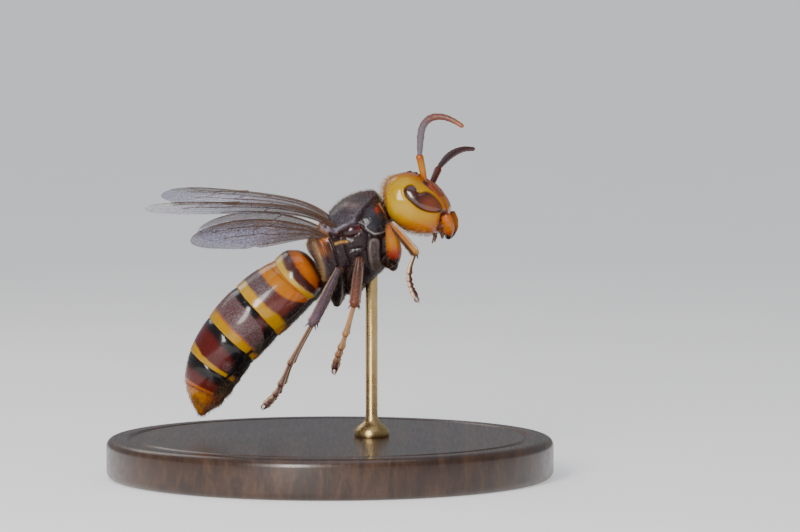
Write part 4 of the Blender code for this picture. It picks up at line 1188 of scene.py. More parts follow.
def make_thorax():
    """One skin from the neck to the waist, with the grooves between its plates pressed in."""
    last = len(THORAX) - 1
    grid = capped(body_grid(curve(THORAX, np.linspace(0.0, last, THORAX_ROWS)), THORAX_COLUMNS))
    thorax = wrap("thorax_shell", grid)
    spots = places(thorax)
    x, y, z = spots.T
    t = np.clip((noted(thorax, "down") * (len(grid) - 1) - CAP_ROWS) / (THORAX_ROWS - 1) * last, 0.0, last)
    turn = np.abs((noted(thorax, "across") + 0.5) % 1.0 - 0.5) * 360
    side_view = spots[:, [0, 2]]
    beside = rise(np.abs(y), 0.8, 2.0)

    def ridge(line, width, sharp=2):
        return bell(off_line(side_view, line), width, sharp) * beside

    def patch(place, reach_x, reach_z, sharp=2):
        return np.exp(-np.hypot((x - place[0]) / reach_x, (z - place[1]) / reach_z) ** sharp) * beside

    scutum = off_line(side_view, SCUTUM_EDGE)
    relief = np.zeros(len(spots))
    paint = Paint((0.014, 0.004, 0.0055))
    # Back plates: scutum with its furrows, scutellum, and the strips behind it
    above = z > np.interp(x, [p[0] for p in SCUTUM_EDGE], [p[1] for p in SCUTUM_EDGE])
    back = np.where(above & (t > 1.6) & (t < 6.05) & (x < 5.9), rise(scutum, 0.0, 0.3), 0.0)
    back = back * np.where(turn < 60, 1 - rise(t, 5.9, 6.05), 1.0)
    relief += 0.12 * back
    paint(SLATE, 0.9 * back)
    furrow = bell(np.abs(y) - 1.7, 0.10) * rise(t, 2.6, 3.2) * fall(t, 5.2, 5.8) * (z > 32)
    middle = bell(y, 0.09) * rise(t, 1.6, 2.0) * fall(t, 3.2, 4.0) * (z > 32)
    relief -= 0.08 * np.maximum(furrow, middle)
    paint(BLACK, 0.8 * np.maximum(furrow, middle))
    for place, depth, reach in BACK_SEAMS:
        relief -= depth * bell(t - place, 0.07) * fall(turn, reach - 15, reach)
    hump = bell(t - 6.4, 0.3, 4) * fall(turn, 35, 60)
    strip = bell(t - 6.98, 0.17, 4) * fall(turn, 45, 70)
    relief += 0.14 * hump + 0.08 * strip
    paint(SLATE, 0.9 * hump)
    paint(DEEP_ORANGE, 0.85 * rise(strip, 0.3, 0.7))
    # Lilac line painted along the scutum's lower edge: painted sheen
    rim = bell(scutum - 0.16, 0.10) * beside * np.maximum(back, above * 1.0)
    paint(LILAC_SHEEN, 0.8 * rim * (x < 3.2))
    ridge_top = back * fall(np.abs(y), 1.1, 1.6) * rise(t, 2.0, 2.6)
    paint((0.12, 0.062, 0.050), 0.6 * ridge_top * (1 - middle))
    brush = patch((2.7, 34.1), 1.0, 0.35)
    paint((0.16, 0.085, 0.055), 0.6 * brush * back)
    paint(RUST, 0.55 * bell(t - 1.9, 0.45) * fall(turn, 15, 60))
    # Sides: the seams between the plates
    for line, depth, width in SEAM_LINES:
        relief -= depth * ridge(line, width)
    # Shoulder lobe, with highlights painted along its rims
    lobe = patch((5.35, 32.35), 1.2, 1.6, 4)
    relief += 0.50 * patch((5.35, 32.35), 1.30, 1.6)
    paint((0.030, 0.028, 0.036), lobe)
    lobe_rim_glint = [(px + 0.06, pz + 0.22) for px, pz in LOBE_EDGE[2:]]
    relief += 0.10 * ridge(lobe_rim_glint, 0.10)
    # The pale tone on the lobe's rim is a painted highlight; the ridge pressed under it is real
    paint((0.40, 0.36, 0.36), 0.85 * ridge(lobe_rim_glint, 0.085))
    # Pale line at the lobe's lower left: a painted highlight
    paint((0.30, 0.27, 0.29), 0.7 * ridge(((3.6, 32.15), (4.1, 31.95), (4.5, 31.7)), 0.07))
    paint((0.42, 0.035, 0.004), 0.9 * patch((5.8, 33.55), 0.26, 0.42))
    collar = off_line(side_view, COLLAR_LINE)
    paint((0.60, 0.24, 0.07), 0.95 * bell(collar, 0.13, 4))
    relief += 0.08 * bell(collar, 0.16)
    # Downy plate on the side of the breast, ringed by paler hair
    fluff = ridge(FLUFF, 0.55, 6)
    ring = bell(off_line(side_view, FLUFF) - 0.50, 0.13) * beside
    relief += 0.12 * fluff
    paint((0.055, 0.042, 0.040), 0.8 * fluff)
    paint((0.30, 0.25, 0.22), 0.55 * ring)
    # Roots of the wings: painted shade in the hollow round them, a pale scale whose pit is painted black as
    # shade, orange lobe and yellow streak
    paint(WINE, 0.9 * ridge(WING_PIT, 0.38, 4))
    scale = patch((-0.45, 31.35), 0.60, 0.60, 6)
    relief += 0.10 * scale
    paint((0.36, 0.30, 0.34), 0.95 * scale)
    paint((0.17, 0.14, 0.17), 0.85 * ridge(((0.1, 31.2), (0.6, 31.05)), 0.30, 4) * (1 - scale))
    # Pale bluish line along the scutum's lower edge by the wing roots: a painted highlight
    pale_edge_glint = ridge(((0.15, 31.5), (0.8, 31.1), (1.25, 31.4), (2.1, 31.85)), 0.08)
    paint((0.34, 0.31, 0.38), 0.8 * pale_edge_glint)
    paint(BLACK, 0.95 * patch((-0.50, 31.42), 0.27, 0.27, 4))
    relief -= 0.20 * patch((-0.50, 31.42), 0.22, 0.22, 4)
    knob = patch((-0.80, 30.15), 0.62, 0.80, 4)
    relief += 0.22 * knob
    paint(ORANGE, 0.95 * knob)
    paint((0.55, 0.22, 0.03), 0.8 * knob * rise(z, 30.0, 30.7))
    paint((0.34, 0.030, 0.004), 0.8 * knob * fall(z, 29.4, 30.0) * rise(x, -0.9, -0.4))
    relief += 0.14 * ridge(WING_STREAK, 0.14)
    paint((0.50, 0.27, 0.07), 0.85 * ridge(WING_STREAK, 0.16))
    # Brown hind face, with golden rims towards the waist
    rear = rise(t, 7.3, 7.9)
    brown = patch((-0.9, 28.6), 0.8, 0.8)
    paint((0.030, 0.017, 0.020), 0.9 * rear * fall(turn, 90, 130))
    paint((0.24, 0.065, 0.010), 0.85 * brown)
    gold = ridge(HIND_RIM, 0.20)
    back_rim = bell(turn, 24) * rise(t, 7.3, 7.6) * fall(t, 9.2, 9.6)
    relief += 0.16 * gold + 0.05 * back_rim
    paint(STRAW, 0.8 * gold)
    paint((0.36, 0.13, 0.06), 0.75 * back_rim)
    # On the scutum the lilac cover stands for its down and for painted sky sheen; on the breast, the hind
    # face and the brush it is down
    cover = 0.55 * back * (1 - rise(scutum, 0.3, 2.5) * 0.4) + 0.75 * fluff + 0.4 * rear + 0.5 * brush
    dull = 0.2 * back + 0.6 * fluff + 0.3 * rear + 0.5 * rise(turn, 110, 150) - 0.2 * lobe
    relief += 0.03 * ripple(spots, 0.9) + 0.012 * ripple(spots, 0.3, 5.0)
    tint(thorax, paint.colours)
    note(thorax, dull=np.clip(dull, 0.0, 0.9), down_cover=np.clip(cover, 0.0, 0.9), fluff=fluff,
         gold=np.maximum(gold, 0.7 * back_rim), along_body=t)
    press(thorax, relief)
    finished(thorax, "thorax", "thorax_shell", *THORAX_NODES)
    return thorax


# Soft necks in the gaps between the parts of the body, each with the part it is finished like
JOINTS = (
    ("neck", "thorax", ((7.4, 0.0, 33.4, 1.5), (6.9, 0.0, 33.1, 1.45), (6.4, 0.0, 32.7, 1.6))),
    ("waist", "gaster", ((-0.2, 0.0, 25.1, 0.8), (-0.8, 0.0, 25.05, 0.6), (-1.6, 0.0, 25.2, 0.85))),
)


def make_joint(name, part, stations):
    """A short soft neck that fills the gap between two parts of the body."""
    piece = tube(name, stations, rows=24, columns=32, swell=lambda t: 1.0 + 0.05 * np.cos(2 * pi * t * 2.5))
    tint(piece, WINE)
    note(piece, dull=0.3)
    finished(piece, part, part + "_shell")


def make_tegula(side, word):
    """The polished scale over the root of the wings."""
    place, sizes = TEGULA
    middle = Vector((place[0], side * (place[1] - 0.1), place[2])) * MM
    bpy.ops.mesh.primitive_uv_sphere_add(segments=36, ring_count=20, radius=MM, location=middle)
    piece = named("tegula_%s_scale" % word)
    with editing():
        bpy.ops.transform.resize(value=tuple(s * 1.04 for s in sizes), center_override=middle)
    piece.data.transform(Matrix.Rotation(radians(TEGULA_TURN), 4, "Y"))
    settled(piece)
    bpy.ops.object.shade_smooth()
    spots = places(piece)
    ahead = spots[:, 0] - place[0]
    paint = Paint((0.030, 0.006, 0.008))
    paint((0.13, 0.008, 0.004), 0.9 * rise(ahead, 0.45, 0.95))
    paint(BLACK, 0.8 * fall(ahead, -1.1, -0.5))
    tint(piece, paint.colours)
    press(piece, 0.025 * ripple(spots, 0.4))
    finished(piece, "gaster", "thorax_shell", "tegula_" + word)


# Gaster

# Heights down the side, from 0 at the top to 1 at the bottom, at which the seams and the bands are given
HEIGHTS = (0.0, 0.25, 0.5, 0.7, 0.85, 1.0)
# How far each seam between rings lies behind its plain cut, as a share of a ring
SEAMS = (
    (0.0, 0.0, 0.0, 0.0, 0.0, 0.0), (-0.09, -0.04, 0.01, 0.035, 0.05, 0.03),
    (-0.02, -0.04, -0.07, -0.07, -0.07, -0.05), (-0.06, -0.07, -0.09, -0.12, -0.16, -0.12),
    (-0.04, -0.03, -0.07, -0.14, -0.17, -0.12),
    (0.0, 0.0, 0.02, 0.04, 0.03, 0.0), (0.0, 0.0, 0.0, 0.0, 0.0, 0.0),
)


def plain_cuts():
    """The cuts of the gaster at every step along its rings, without the swell and the lip of each ring."""
    cuts = []
    share = np.linspace(0.0, 1.0, RING_STEPS, endpoint=False)
    for i in range(RINGS):
        front, back = np.array(GASTER[i]), np.array(GASTER[i + 1])
        knots = [front, back]
        if i == 0:
            knots = [front, np.array(SHOULDER[0]), np.array(SHOULDER[1]), back]
        if i == LAST_RING:
            base = np.array(STING_BASE)
            knots = [front, front + (base - front) * 0.3, front + (base - front) * 0.65, base, back]
        cuts += list(curve(knots, share * (len(knots) - 1)))
    return np.array(cuts + [GASTER[-1]])


def ring_swell(i, share):
    """How far a ring stands out from its plain cuts at a share of its length."""
    if i == 0:
        share = np.clip(share * 3 - 2, 0.0, None)
    if i == LAST_RING:
        return RING_SWELL * np.sin(pi * np.interp(share * 4, (0, 1, 2, 3), (0, 0.3, 0.65, 1)))
    return RING_SWELL * np.sin(pi * np.clip(share, 0.0, 1.0))


# Hind edges of the bands of each ring, as a share along the ring at each of the heights
BAND_EDGES = {
    "first front": (0.50, 0.31, 0.25, 0.26, 0.52, 0.70),
    "first orange": (0.69, 0.72, 0.725, 0.685, 0.62, 0.58),
    "first dark": (0.80, 0.865, 0.88, 0.87, 0.835, 0.80),
    "second tan": (0.36, 0.395, 0.385, 0.32, 0.22, 0.0),
    "second dark": (0.71, 0.69, 0.70, 0.65, 0.66, 0.72),
    "third black": (0.20, 0.20, 0.17, 0.19, 0.34, 0.60),
    "third dark": (0.68, 0.685, 0.68, 0.65, 0.66, 0.72),
    "fourth black": (0.24, 0.27, 0.29, 0.36, 0.52, 0.60),
    "fourth dark": (0.68, 0.775, 0.77, 0.735, 0.72, 0.75),
    "fifth dark": (0.81, 0.845, 0.85, 0.84, 0.84, 0.87),
}
# Height down the side at which the upper plates overlap the lower ones, at each seam from the waist on
PLATE_EDGES = (0.91, 0.90, 0.895, 0.865, 0.81, 0.70, 0.70)


def plate_edge(place):
    """How far down the side the upper plates end, at places counted in rings from the waist."""
    return np.interp(place, range(RINGS + 1), PLATE_EDGES)


def gaster_colours(ring, share, height, spots):
    """The markings of the gaster at places given by ring, share along it and height down its side."""
    share = share + 0.010 * ripple(spots, 1.1, 3.0) + 0.004 * ripple(spots, 0.3, 5.0)

    def past(name, soft=0.018):
        return rise(share - np.interp(height, HEIGHTS, BAND_EDGES[name]), -soft, soft)

    paint = Paint(WINE)
    edge = plate_edge(ring + share)
    down = np.zeros(len(share))
    first, second, third, fourth, fifth, sixth = (ring == k for k in range(RINGS))
    glow = 1 - rise(height, 0.55, 0.8)
    # First ring: wine front, an orange crescent, a plum band and a pale hind rim
    paint.where = first
    crescent = past("first front", 0.05) * (1 - past("first orange")) * (height < 0.93)
    paint(RUST, 0.6 * (1 - past("first front", 0.2)))
    paint(DEEP_ORANGE, crescent)
    inner = past("first front", 0.12) * (1 - past("first orange", 0.03))
    paint(ORANGE, inner * (0.35 + 0.65 * glow))
    paint(PLUM, past("first orange") * (1 - past("first dark")))
    paint(PALE_YELLOW, past("first dark"))
    paint(YELLOW, 0.8 * past("first dark") * rise(height, 0.45, 0.7))
    # Lilac cover at the top of the plum band: painted sheen
    down += 0.3 * first * past("first orange", 0.1) * (1 - past("first dark")) * fall(height, 0.1, 0.4)
    # Second ring: a tan band that ends in deep orange, a plum band and a yellow hind rim
    paint.where = second
    tan = 1 - past("second tan", 0.03)
    paint(TAN, tan)
    suture = bell(share - 0.085, 0.018) * fall(height, 0.6, 0.85)
    paint(ORANGE, 0.85 * tan * rise(height, 0.4, 0.75))
    paint(DEEP_ORANGE, 0.7 * tan * rise(height, 0.78, 0.88))
    paint((0.17, 0.022, 0.001), 0.7 * suture)
    band = (1 - tan) * (1 - past("second dark"))
    paint(PLUM, band)
    paint((0.15, 0.020, 0.010), 0.75 * band * rise(height, 0.35, 0.6))
    paint(BLACK, 0.9 * band * rise(height, 0.74, 0.84))
    paint(YELLOW, past("second dark", 0.03))
    paint(PALE_YELLOW, 0.5 * past("second dark") * fall(height, 0.1, 0.35))
    # Lilac cover over the plum band, strongest at the top, where it is painted sheen
    down += second * band * (0.75 * fall(height, 0.25, 0.5) + 0.12)
    # Third ring: black front, a brown band under grey down, and a yellow hind rim
    paint.where = third
    black = 1 - past("third black", 0.012)
    paint(BLACK, black)
    paint((0.08, 0.006, 0.004), 0.8 * black * rise(height, 0.5, 0.62) * fall(height, 0.7, 0.8))
    band = (1 - black) * (1 - past("third dark", 0.03))
    paint((0.075, 0.020, 0.018), band)
    down += third * band * (0.7 - 0.2 * rise(height, 0.3, 0.5) + 0.2 * rise(height, 0.65, 0.8))
    paint(YELLOW, past("third dark"))
    paint(BLACK, 0.97 * rise(height, 0.80, 0.83))
    paint(ORANGE, 0.6 * bell(share - np.interp(height, HEIGHTS, BAND_EDGES["third dark"]), 0.03))
    # Fourth ring: polished black and wine, with a yellow hind rim
    paint.where = fourth
    black = 1 - past("fourth black", 0.1)
    paint(BLACK, black)
    paint((0.085, 0.006, 0.004), 0.95 * (1 - black) * fall(height, 0.62, 0.8))
    paint(YELLOW, past("fourth dark"))
    paint(BLACK, 0.97 * rise(height, 0.745, 0.775))
    down += 0.8 * fourth * bell(height - 0.68, 0.08) * bell(share - 0.58, 0.12)
    # Fifth ring: black to wine with an orange rim, and the orange tip
    paint.where = fifth
    paint(BLACK, fall(share, 0.3, 0.6))
    paint((0.095, 0.005, 0.003), 0.95 * rise(share, 0.35, 0.6) * fall(height, 0.6, 0.85))
    paint(ORANGE, past("fifth dark"))
    paint.where = sixth
    paint((0.42, 0.150, 0.001), 1.0)
    paint(DEEP_ORANGE, fall(share, 0.05, 0.20))
    paint((0.12, 0.008, 0.002), 0.9 * bell(share - 0.02, 0.035))
    paint(DEEP_ORANGE, 0.8 * rise(height, 0.5, 0.75))
    paint(RUST, 0.95 * rise(height, 0.74, 0.86) * fall(share, 0.75, 0.95))
    smudge = rise(ripple(spots, 1.3, 11.0), 0.15, 0.75)
    paint((0.14, 0.030, 0.003), 0.5 * smudge * (share < 0.8))
    paint(RUST, 0.8 * rise(share, 0.88, 1.0))
    # Lower plates: dark, with ragged yellow rims on the second to the fourth
    paint.where = 1.0
    low = rise(height - edge, -0.015, 0.015) * (ring < LAST_RING)
    ragged = rise(share + 0.05 * ripple(spots, 0.35, 9.0), 0.66, 0.74)
    paint(BLACK, 0.95 * low)
    patch = low * ragged * fall(height, 0.965, 0.99) * ((ring > 0) & (ring < 4))
    patch = patch * np.where(ring == 3, 1 - rise(height, 0.90, 0.93), 1.0)
    paint((0.92, 0.43, 0.010), patch)
    paint(ORANGE, 0.4 * patch * (ring == 3))
    paint(RUST, 0.6 * low * ragged * (ring == 4))
    dull = np.clip(down * 0.35 + 0.7 * low + 0.4 * sixth * rise(height, 0.6, 0.85), 0.0, 1.0)
    return paint.colours, np.clip(down, 0.0, 1.0), dull


def make_gaster():
    """The six rings of the gaster as one skin, each lapping over the front of the next."""
    table = body_grid(plain_cuts(), GASTER_COLUMNS)
    middles = table[:, :-1].mean(axis=1, keepdims=True)
    outward = unit(table - middles)
    height = (1 - np.cos(once_round(GASTER_COLUMNS))) / 2
    columns = np.arange(GASTER_COLUMNS + 1)
    rows, ring_of, share_of = [], [], []

    def add_row(i, share, swell):
        before = np.interp(height, HEIGHTS, SEAMS[i])
        behind = np.interp(height, HEIGHTS, SEAMS[i + 1])
        done = min(share, 1.0)
        at = np.clip((i + share + before * (1 - done) + behind * done) * RING_STEPS, 0.0, RINGS * RING_STEPS)
        whole = np.minimum(at.astype(int), RINGS * RING_STEPS - 1)
        part = (at - whole)[:, None]
        spots = table[whole, columns] * (1 - part) + table[whole + 1, columns] * part
        low = rise(height - plate_edge(at / RING_STEPS), -0.02, 0.02)
        lip = RING_LIP * (0.4 if i == 0 else 1.0) * (1 - 0.55 * low) * done * (i < LAST_RING)
        rows.append(spots + outward[np.rint(at).astype(int), columns] * (swell + lip)[:, None])
        ring_of.append(i)
        share_of.append(at / RING_STEPS - i)

    for i in range(RINGS):
        for share in np.linspace(0.0, 1.0, RING_ROWS):
            add_row(i, share, ring_swell(i, share))
        if i < LAST_RING:
            for past, drop in ((0.004, 0.03), (0.006, 0.08), (-0.004, 0.15), (-0.03, 0.21)):
                add_row(i, 1.0 + past, -drop)
            add_row(i + 1, -0.03, -0.09)
            add_row(i + 1, -0.01, -0.05)
    grid = np.array(rows)
    grid[:, -1] = grid[:, 0]
    grid = capped(grid)
    gaster = wrap("gaster_shell", grid)
    spots = places(gaster)
    row = np.clip(np.rint(noted(gaster, "down") * (len(grid) - 1)).astype(int) - CAP_ROWS, 0, len(rows) - 1)
    column = np.rint(noted(gaster, "across") * GASTER_COLUMNS).astype(int)
    ring = np.array(ring_of)[row]
    share = np.array(share_of)[row, column]
    height = height[column]
    colours, down, dull = gaster_colours(ring, share, height, spots)
    edge = plate_edge(ring + share)
    lower = rise(height - edge, -0.008, 0.008) * (ring < LAST_RING) * rise(share, 0.0, 0.1)
    lower = np.where(ring == 0, lower * rise(share, 0.6, 0.8), lower)
    relief = -0.12 * lower + 0.010 * ripple(spots, 1.5)
    overlap = (ring < LAST_RING) * (ring > 0) * rise(share, 0.0, 0.1)
    relief += 0.04 * bell(height - edge + 0.02, 0.014) * overlap
    keel = (ring == LAST_RING) * bell(height - 0.80, 0.025) * rise(share, 0.1, 0.3) * fall(share, 0.8, 1.0)
    relief -= 0.12 * keel
    tint(gaster, colours)
    note(gaster, dull=dull, down_cover=down, ring=ring, share=share, height=height)
    press(gaster, relief)
    finished(gaster, "gaster", "gaster_shell", *["gaster_%d" % (k + 1) for k in range(RINGS)])
    return gaster


def make_sting():
    """The short dark point at the tip of the gaster."""
    piece = tube("sting", STING, rows=20, columns=16, cap=3)
    finished(piece, "horn", "gaster_shell")


# Legs

def leg_spots(side, stations):
    """The stations of a leg on one side of the body."""
    drop = FAR_LEG_DROP if side == LEFT else 0.0
    return np.array([(x, side * out, z - drop * out, radius) for x, out, z, radius in stations])


# Colours of the legs: the thigh near the hip and beyond, the shin and its lower part, the first and last
# joint of the foot and the claws, then the tones painted along the rear and front edge of shin and foot,
# mostly pale glare that stands in for light, each with where it begins
LEG_TONES = {
    "fore": dict(near=(0.010, 0.003, 0.003), thigh=ORANGE, shin=(0.43, 0.130, 0.0012),
                 low=(0.46, 0.21, 0.020), first=(0.075, 0.018, 0.006), last=(0.060, 0.024, 0.020),
                 claw=(0.36, 0.27, 0.27),
                 shin_lit_edges=(((0.060, 0.010, 0.003), 0.05), ((0.72, 0.50, 0.38), 0.50)),
                 foot_lit_edges=(((0.80, 0.58, 0.38), 0.0), ((0.040, 0.010, 0.005), 0.50))),
    "mid": dict(near=BLACK, thigh=BLACK, shin=(0.066, 0.017, 0.011), low=(0.15, 0.040, 0.020),
                first=(0.38, 0.175, 0.062), last=(0.045, 0.005, 0.008), claw=(0.62, 0.50, 0.46),
                shin_lit_edges=(((0.24, 0.15, 0.14), 0.66), ((0.32, 0.20, 0.16), 0.70)),
                foot_lit_edges=(((0.56, 0.38, 0.21), 0.60), ((0.56, 0.38, 0.21), 0.60))),
    "hind": dict(near=BLACK, thigh=BLACK, shin=(0.050, 0.030, 0.042), low=(0.105, 0.062, 0.090),
                 first=(0.115, 0.046, 0.032), last=(0.070, 0.030, 0.030), claw=(0.60, 0.48, 0.44),
                 shin_lit_edges=(((0.40, 0.26, 0.19), 0.68), ((0.10, 0.065, 0.085), 0.80)),
                 foot_lit_edges=(((0.60, 0.41, 0.23), 0.45), ((0.62, 0.46, 0.28), 0.50))),
}


def paint_lit_edges(paint, piece, spots, edges):
    """Tones painted along the rear and along the front edge of a leg's part, as seen from the side, mostly
    pale glare that stands in for light on its edges.
    """
    way = np.array(spots[-1][:3]) - np.array(spots[0][:3])
    across = facing(piece) @ np.array((-way[2], 0.0, way[0])) / np.hypot(way[0], way[2])
    for turn, (tone, begin) in zip((-1.0, 1.0), edges):
        paint(tone, rise(across * turn, begin, begin + EDGE_FADE))


def make_leg(pair, side, word):
    """Hip and thigh, shin, spurs, jointed foot and claws of one leg."""
    hip, thigh, shin, foot = (leg_spots(side, part) for part in LEGS[pair])
    tones = LEG_TONES[pair]
    stem = "leg_%s_%s" % (pair, word)
    coxa = tube("hip", hip[:2], rows=24, swell=lambda t: 1.08 - 0.1 * t + 0.05 * np.sin(pi * t))
    trochanter = tube("trochanter", np.vstack((hip[1:], thigh[:1])), rows=22,
                      swell=lambda t: 0.92 + 0.12 * np.sin(pi * t))
    femur = tube("femur", thigh, rows=46, columns=28, swell=lambda t: 1.0 + 0.06 * np.sin(pi * t / 3))
    for part in (coxa, trochanter, femur):
        down = noted(part, "down")
        paint = Paint(tones["near"])
        if part == femur:
            if pair == "fore":
                paint((0.24, 0.012, 0.001), rise(down, 0.27, 0.37))
            paint(tones["thigh"], rise(down, 0.38, 0.56))
            if pair == "fore":
                paint(YELLOW, 0.45 * bell(down - 0.66, 0.13))
            paint(RUST, 0.6 * rise(down, 0.88, 0.95))
        tint(part, paint.colours)
        note(part, dull=0.12)
    piece = join(stem + "_thigh", (coxa, trochanter, femur))
    finished(piece, "leg", "leg_shell", stem + "_femur")
    tibia = tube(stem + "_shin", shin, rows=44, columns=26, swell=lambda t: (
        0.86 + 0.14 * rise(t, 0.1, 0.7) + 0.12 * rise(t, 1.75, 1.95) - 0.2 * rise(t, 1.96, 2.0)))
    down = noted(tibia, "down")
    paint = Paint(tones["shin"])
    paint(tones["low"], rise(down, 0.40, 0.85))
    if pair != "hind":
        paint(RUST, 0.55 * fall(down, 0.04, 0.16))
    # Glare painted along the shin's edges, and on the fore legs a darker edge
    paint_lit_edges(paint, tibia, shin, tones["shin_lit_edges"])
    if pair == "fore":
        paint(WINE, 0.9 * rise(down, 0.93, 0.97))
    tint(tibia, paint.colours)
    note(tibia, dull=0.55 if pair == "hind" else 0.2)
    finished(tibia, "leg", "leg_shell", stem + "_tibia")
    make_spurs(stem, shin, foot, pair)
    make_foot(stem, pair, foot)
    return piece, tibia


def make_spurs(stem, shin, foot, pair):
    """Dark spines at the lower end of the shin."""
    end = Vector(shin[-1][:3])
    down = (Vector(foot[1][:3]) - end).normalized()
    axis = down.cross(Vector((0.0, 1.0, 0.0))).normalized()
    spines = []
    for lean, length in SPURS[pair]:
        way = (down + axis * -lean + Vector((0.0, 0.12 * lean, 0.0))).normalized()
        start = end + axis * -lean * 0.5
        bpy.ops.mesh.primitive_cone_add(vertices=12, radius1=SPUR_RADIUS * MM, radius2=0.015 * MM,
                                        depth=length * MM, location=(start + way * length * 0.45) * MM,
                                        rotation=way.to_track_quat("Z", "Y").to_euler())
        bpy.ops.object.shade_smooth()
        spines.append(settled(bpy.context.object))
    finished(join(stem + "_spurs", spines), "horn", "leg_shell")


def make_foot(stem, pair, foot):
    """Five joints, each flared at its end and set with spines, with a pad and two hooked claws."""
    ends = (0.0, *FOOT_JOINTS[pair], 4.0)
    tones = LEG_TONES[pair]
    first, last = np.array(tones["first"]), np.array(tones["last"])
    parts = []
    for number in range(5):
        a, b = ends[number], ends[number + 1]
        spots = curve(foot, np.linspace(a + (0.03 if number else 0.0), b, FOOT_ROWS))
        share = np.linspace(0.0, 1.0, FOOT_ROWS)
        flare = 0.66 + 0.50 * share ** 3 if number < 4 else 0.62 + 0.62 * np.sin(pi * (0.1 + 0.7 * share))
        part = wrap("joint", tube_grid(spots[:, :3], spots[:, 3] * flare, FOOT_COLUMNS, cap=4))
        down = noted(part, "down")
        paint = Paint(first + (last - first) * (number / 4))
        # Glare painted along the foot joint's edges, and on the fore legs a darker edge
        paint_lit_edges(paint, part, spots, tones["foot_lit_edges"])
        paint(RUST, 0.7 * bell(down - 0.97, 0.06))
        tint(part, paint.colours)
        note(part, dull=0.25)
        parts.append(part)
        along = unit(spots[-1, :3] - spots[-4, :3])
        square = np.array(Vector(along).orthogonal().normalized())
        for turn in np.linspace(0.0, 2 * pi, 4 if number < 4 else 1, endpoint=False):
            aside = square * cos(turn) + np.cross(along, square) * sin(turn)
            start = spots[-3, :3] + aside * spots[-3, 3] * 0.7
            tip = start + (along * 0.8 + aside * 0.5) * SPINE_LENGTH
            spine = tube("spine", ((*start, 0.06), (*((start + tip) / 2), 0.05), (*tip, 0.012)),
                         rows=6, columns=6, cap=2)
            tint(spine, WINE)
            parts.append(spine)
    end = Vector(foot[-1][:3])
    along = (end - Vector(curve(foot, [3.5])[0][:3])).normalized()
    for lean in (-1.0, 1.0):
        spread = radians(CLAW_SPREAD) * lean
        way = along * cos(spread) + Vector((0.0, 1.0, 0.0)) * sin(spread)
        start = end - along * 0.25
        mid = start + way * CLAW_LENGTH * 0.6
        tip = mid + (along * 0.9 + Vector((0.35, 0.0, -0.2))).normalized() * CLAW_LENGTH * 0.5
        stations = ((*start, CLAW_RADIUS), (*mid, CLAW_RADIUS * 0.85), (*tip, CLAW_RADIUS * 0.15))
        claw = tube("claw", stations, rows=18, columns=12, cap=3)
        # The claws are tinted pale to stand for their glints: painted highlight
        tint(claw, tones["claw"])
        parts.append(claw)
    bpy.ops.mesh.primitive_uv_sphere_add(segments=16, ring_count=10, radius=PAD_RADIUS * MM,
                                         location=(end + along * 0.35) * MM)
    pad = settled(bpy.context.object)
    tint(pad, PAD_TONE)
    note(pad, dull=0.5)
    parts.append(pad)
    piece = join(stem + "_foot", parts)
    finished(piece, "leg", "leg_shell", stem + "_tarsus")


# Wings

def wing_edges(u, wing):
    """How far the front and hind edges lie from the wing's long line at a share u of its length."""
    breadth, stalk, widest = wing["breadth"], wing["stalk"], wing["widest"]
    tip = wing["tip"] * breadth
    beyond = np.clip((u - widest) / (1 - widest), 0.0, 1.0)
    line = -0.5 * stalk - wing["bow"] * breadth * np.sin(pi * u)
    near = line + stalk + (breadth - stalk) * np.sin(pi / 2 * np.minimum(u / widest, 1.0)) ** 1.25
    hind = np.where(u > widest, line + tip + (breadth - tip) * (1 - beyond ** 2.4) ** 0.5, near)
    front = line + tip * (1 - (1 - beyond ** wing["late"]) ** 0.5)
    return front, hind - wing["notch"] * bell(u - 0.47, 0.035)


def wing_frame(wing, side):
    """The root of a wing and its directions along, back and up."""
    mirror = np.array((1.0, side, 1.0))
    along = unit(np.array(wing["along"]) * mirror)
    back = np.array(wing["back"]) * mirror
    back = unit(back - along * (back @ along))
    up = np.cross(along, back)
    if up[2] < 0:
        up = -up
    return np.array(wing["root"]) * mirror, along, back, up


def on_wing(wing, side, u, v):
    """Places on the middle face of a wing, at shares u out from the root and v back from its front edge."""
    root, along, back, up = wing_frame(wing, side)
    front, hind = wing_edges(u, wing)
    lift = wing["lift"] * (1 - (1 - u) ** LIFT_SPEED)
    pleats = PLEAT * np.sin(2 * pi * (v * 11 + u * 1.5)) * np.sin(pi * np.clip(u, 0, 1)) * np.sin(pi * v)
    height = wing["camber"] * np.sin(pi * v) * np.sin(pi * u) + pleats
    spots = root + np.outer(u * wing["length"], along) + np.outer(front + (hind - front) * v, back)
    spots = spots + np.outer(height, up)
    spots[:, 2] += lift
    return spots


def make_wing(kind, side, word):
    """The thin film of one wing, and the net of veins that stands out on both its faces."""
    wing = WINGS[kind]
    u = 0.012 + 0.986 * (1 - (1 - np.linspace(0, 1, WING_ROWS)) ** 1.5)
    v = np.linspace(0, 1, WING_COLUMNS)
    sheet = on_wing(wing, side, np.repeat(u, WING_COLUMNS), np.tile(v, WING_ROWS))
    film = wrap("%s_%s_film" % (kind, word), sheet.reshape(WING_ROWS, WING_COLUMNS, 3))
    thick = film.modifiers.new("thickness", "SOLIDIFY")
    thick.thickness = MEMBRANE * MM
    thick.offset = 0.0
    bpy.context.view_layer.objects.active = film
    bpy.ops.object.modifier_apply(modifier=thick.name)
    finished(film, "wing", "wing_membrane", "%s_%s" % (kind, word))
    nerves = []
    up = wing_frame(wing, side)[3]
    for wide, narrow, line in VEINS[kind]:
        steps = np.linspace(0.0, len(line) - 1, 14 * (len(line) - 1))
        spots = curve(line, steps)
        way = on_wing(wing, side, np.clip(spots[:, 0], 0.0, 0.99), spots[:, 1])
        radii = np.linspace(wide, narrow, len(steps))
        nerves.append(wrap("vein", tube_grid(way, radii, 10, wide=0.62, high=1.0, towards=up, cap=3)))
    net = join("%s_%s_veins" % (kind, word), nerves)
    finished(net, "vein", "wing_membrane")


# Hair on each part of the body

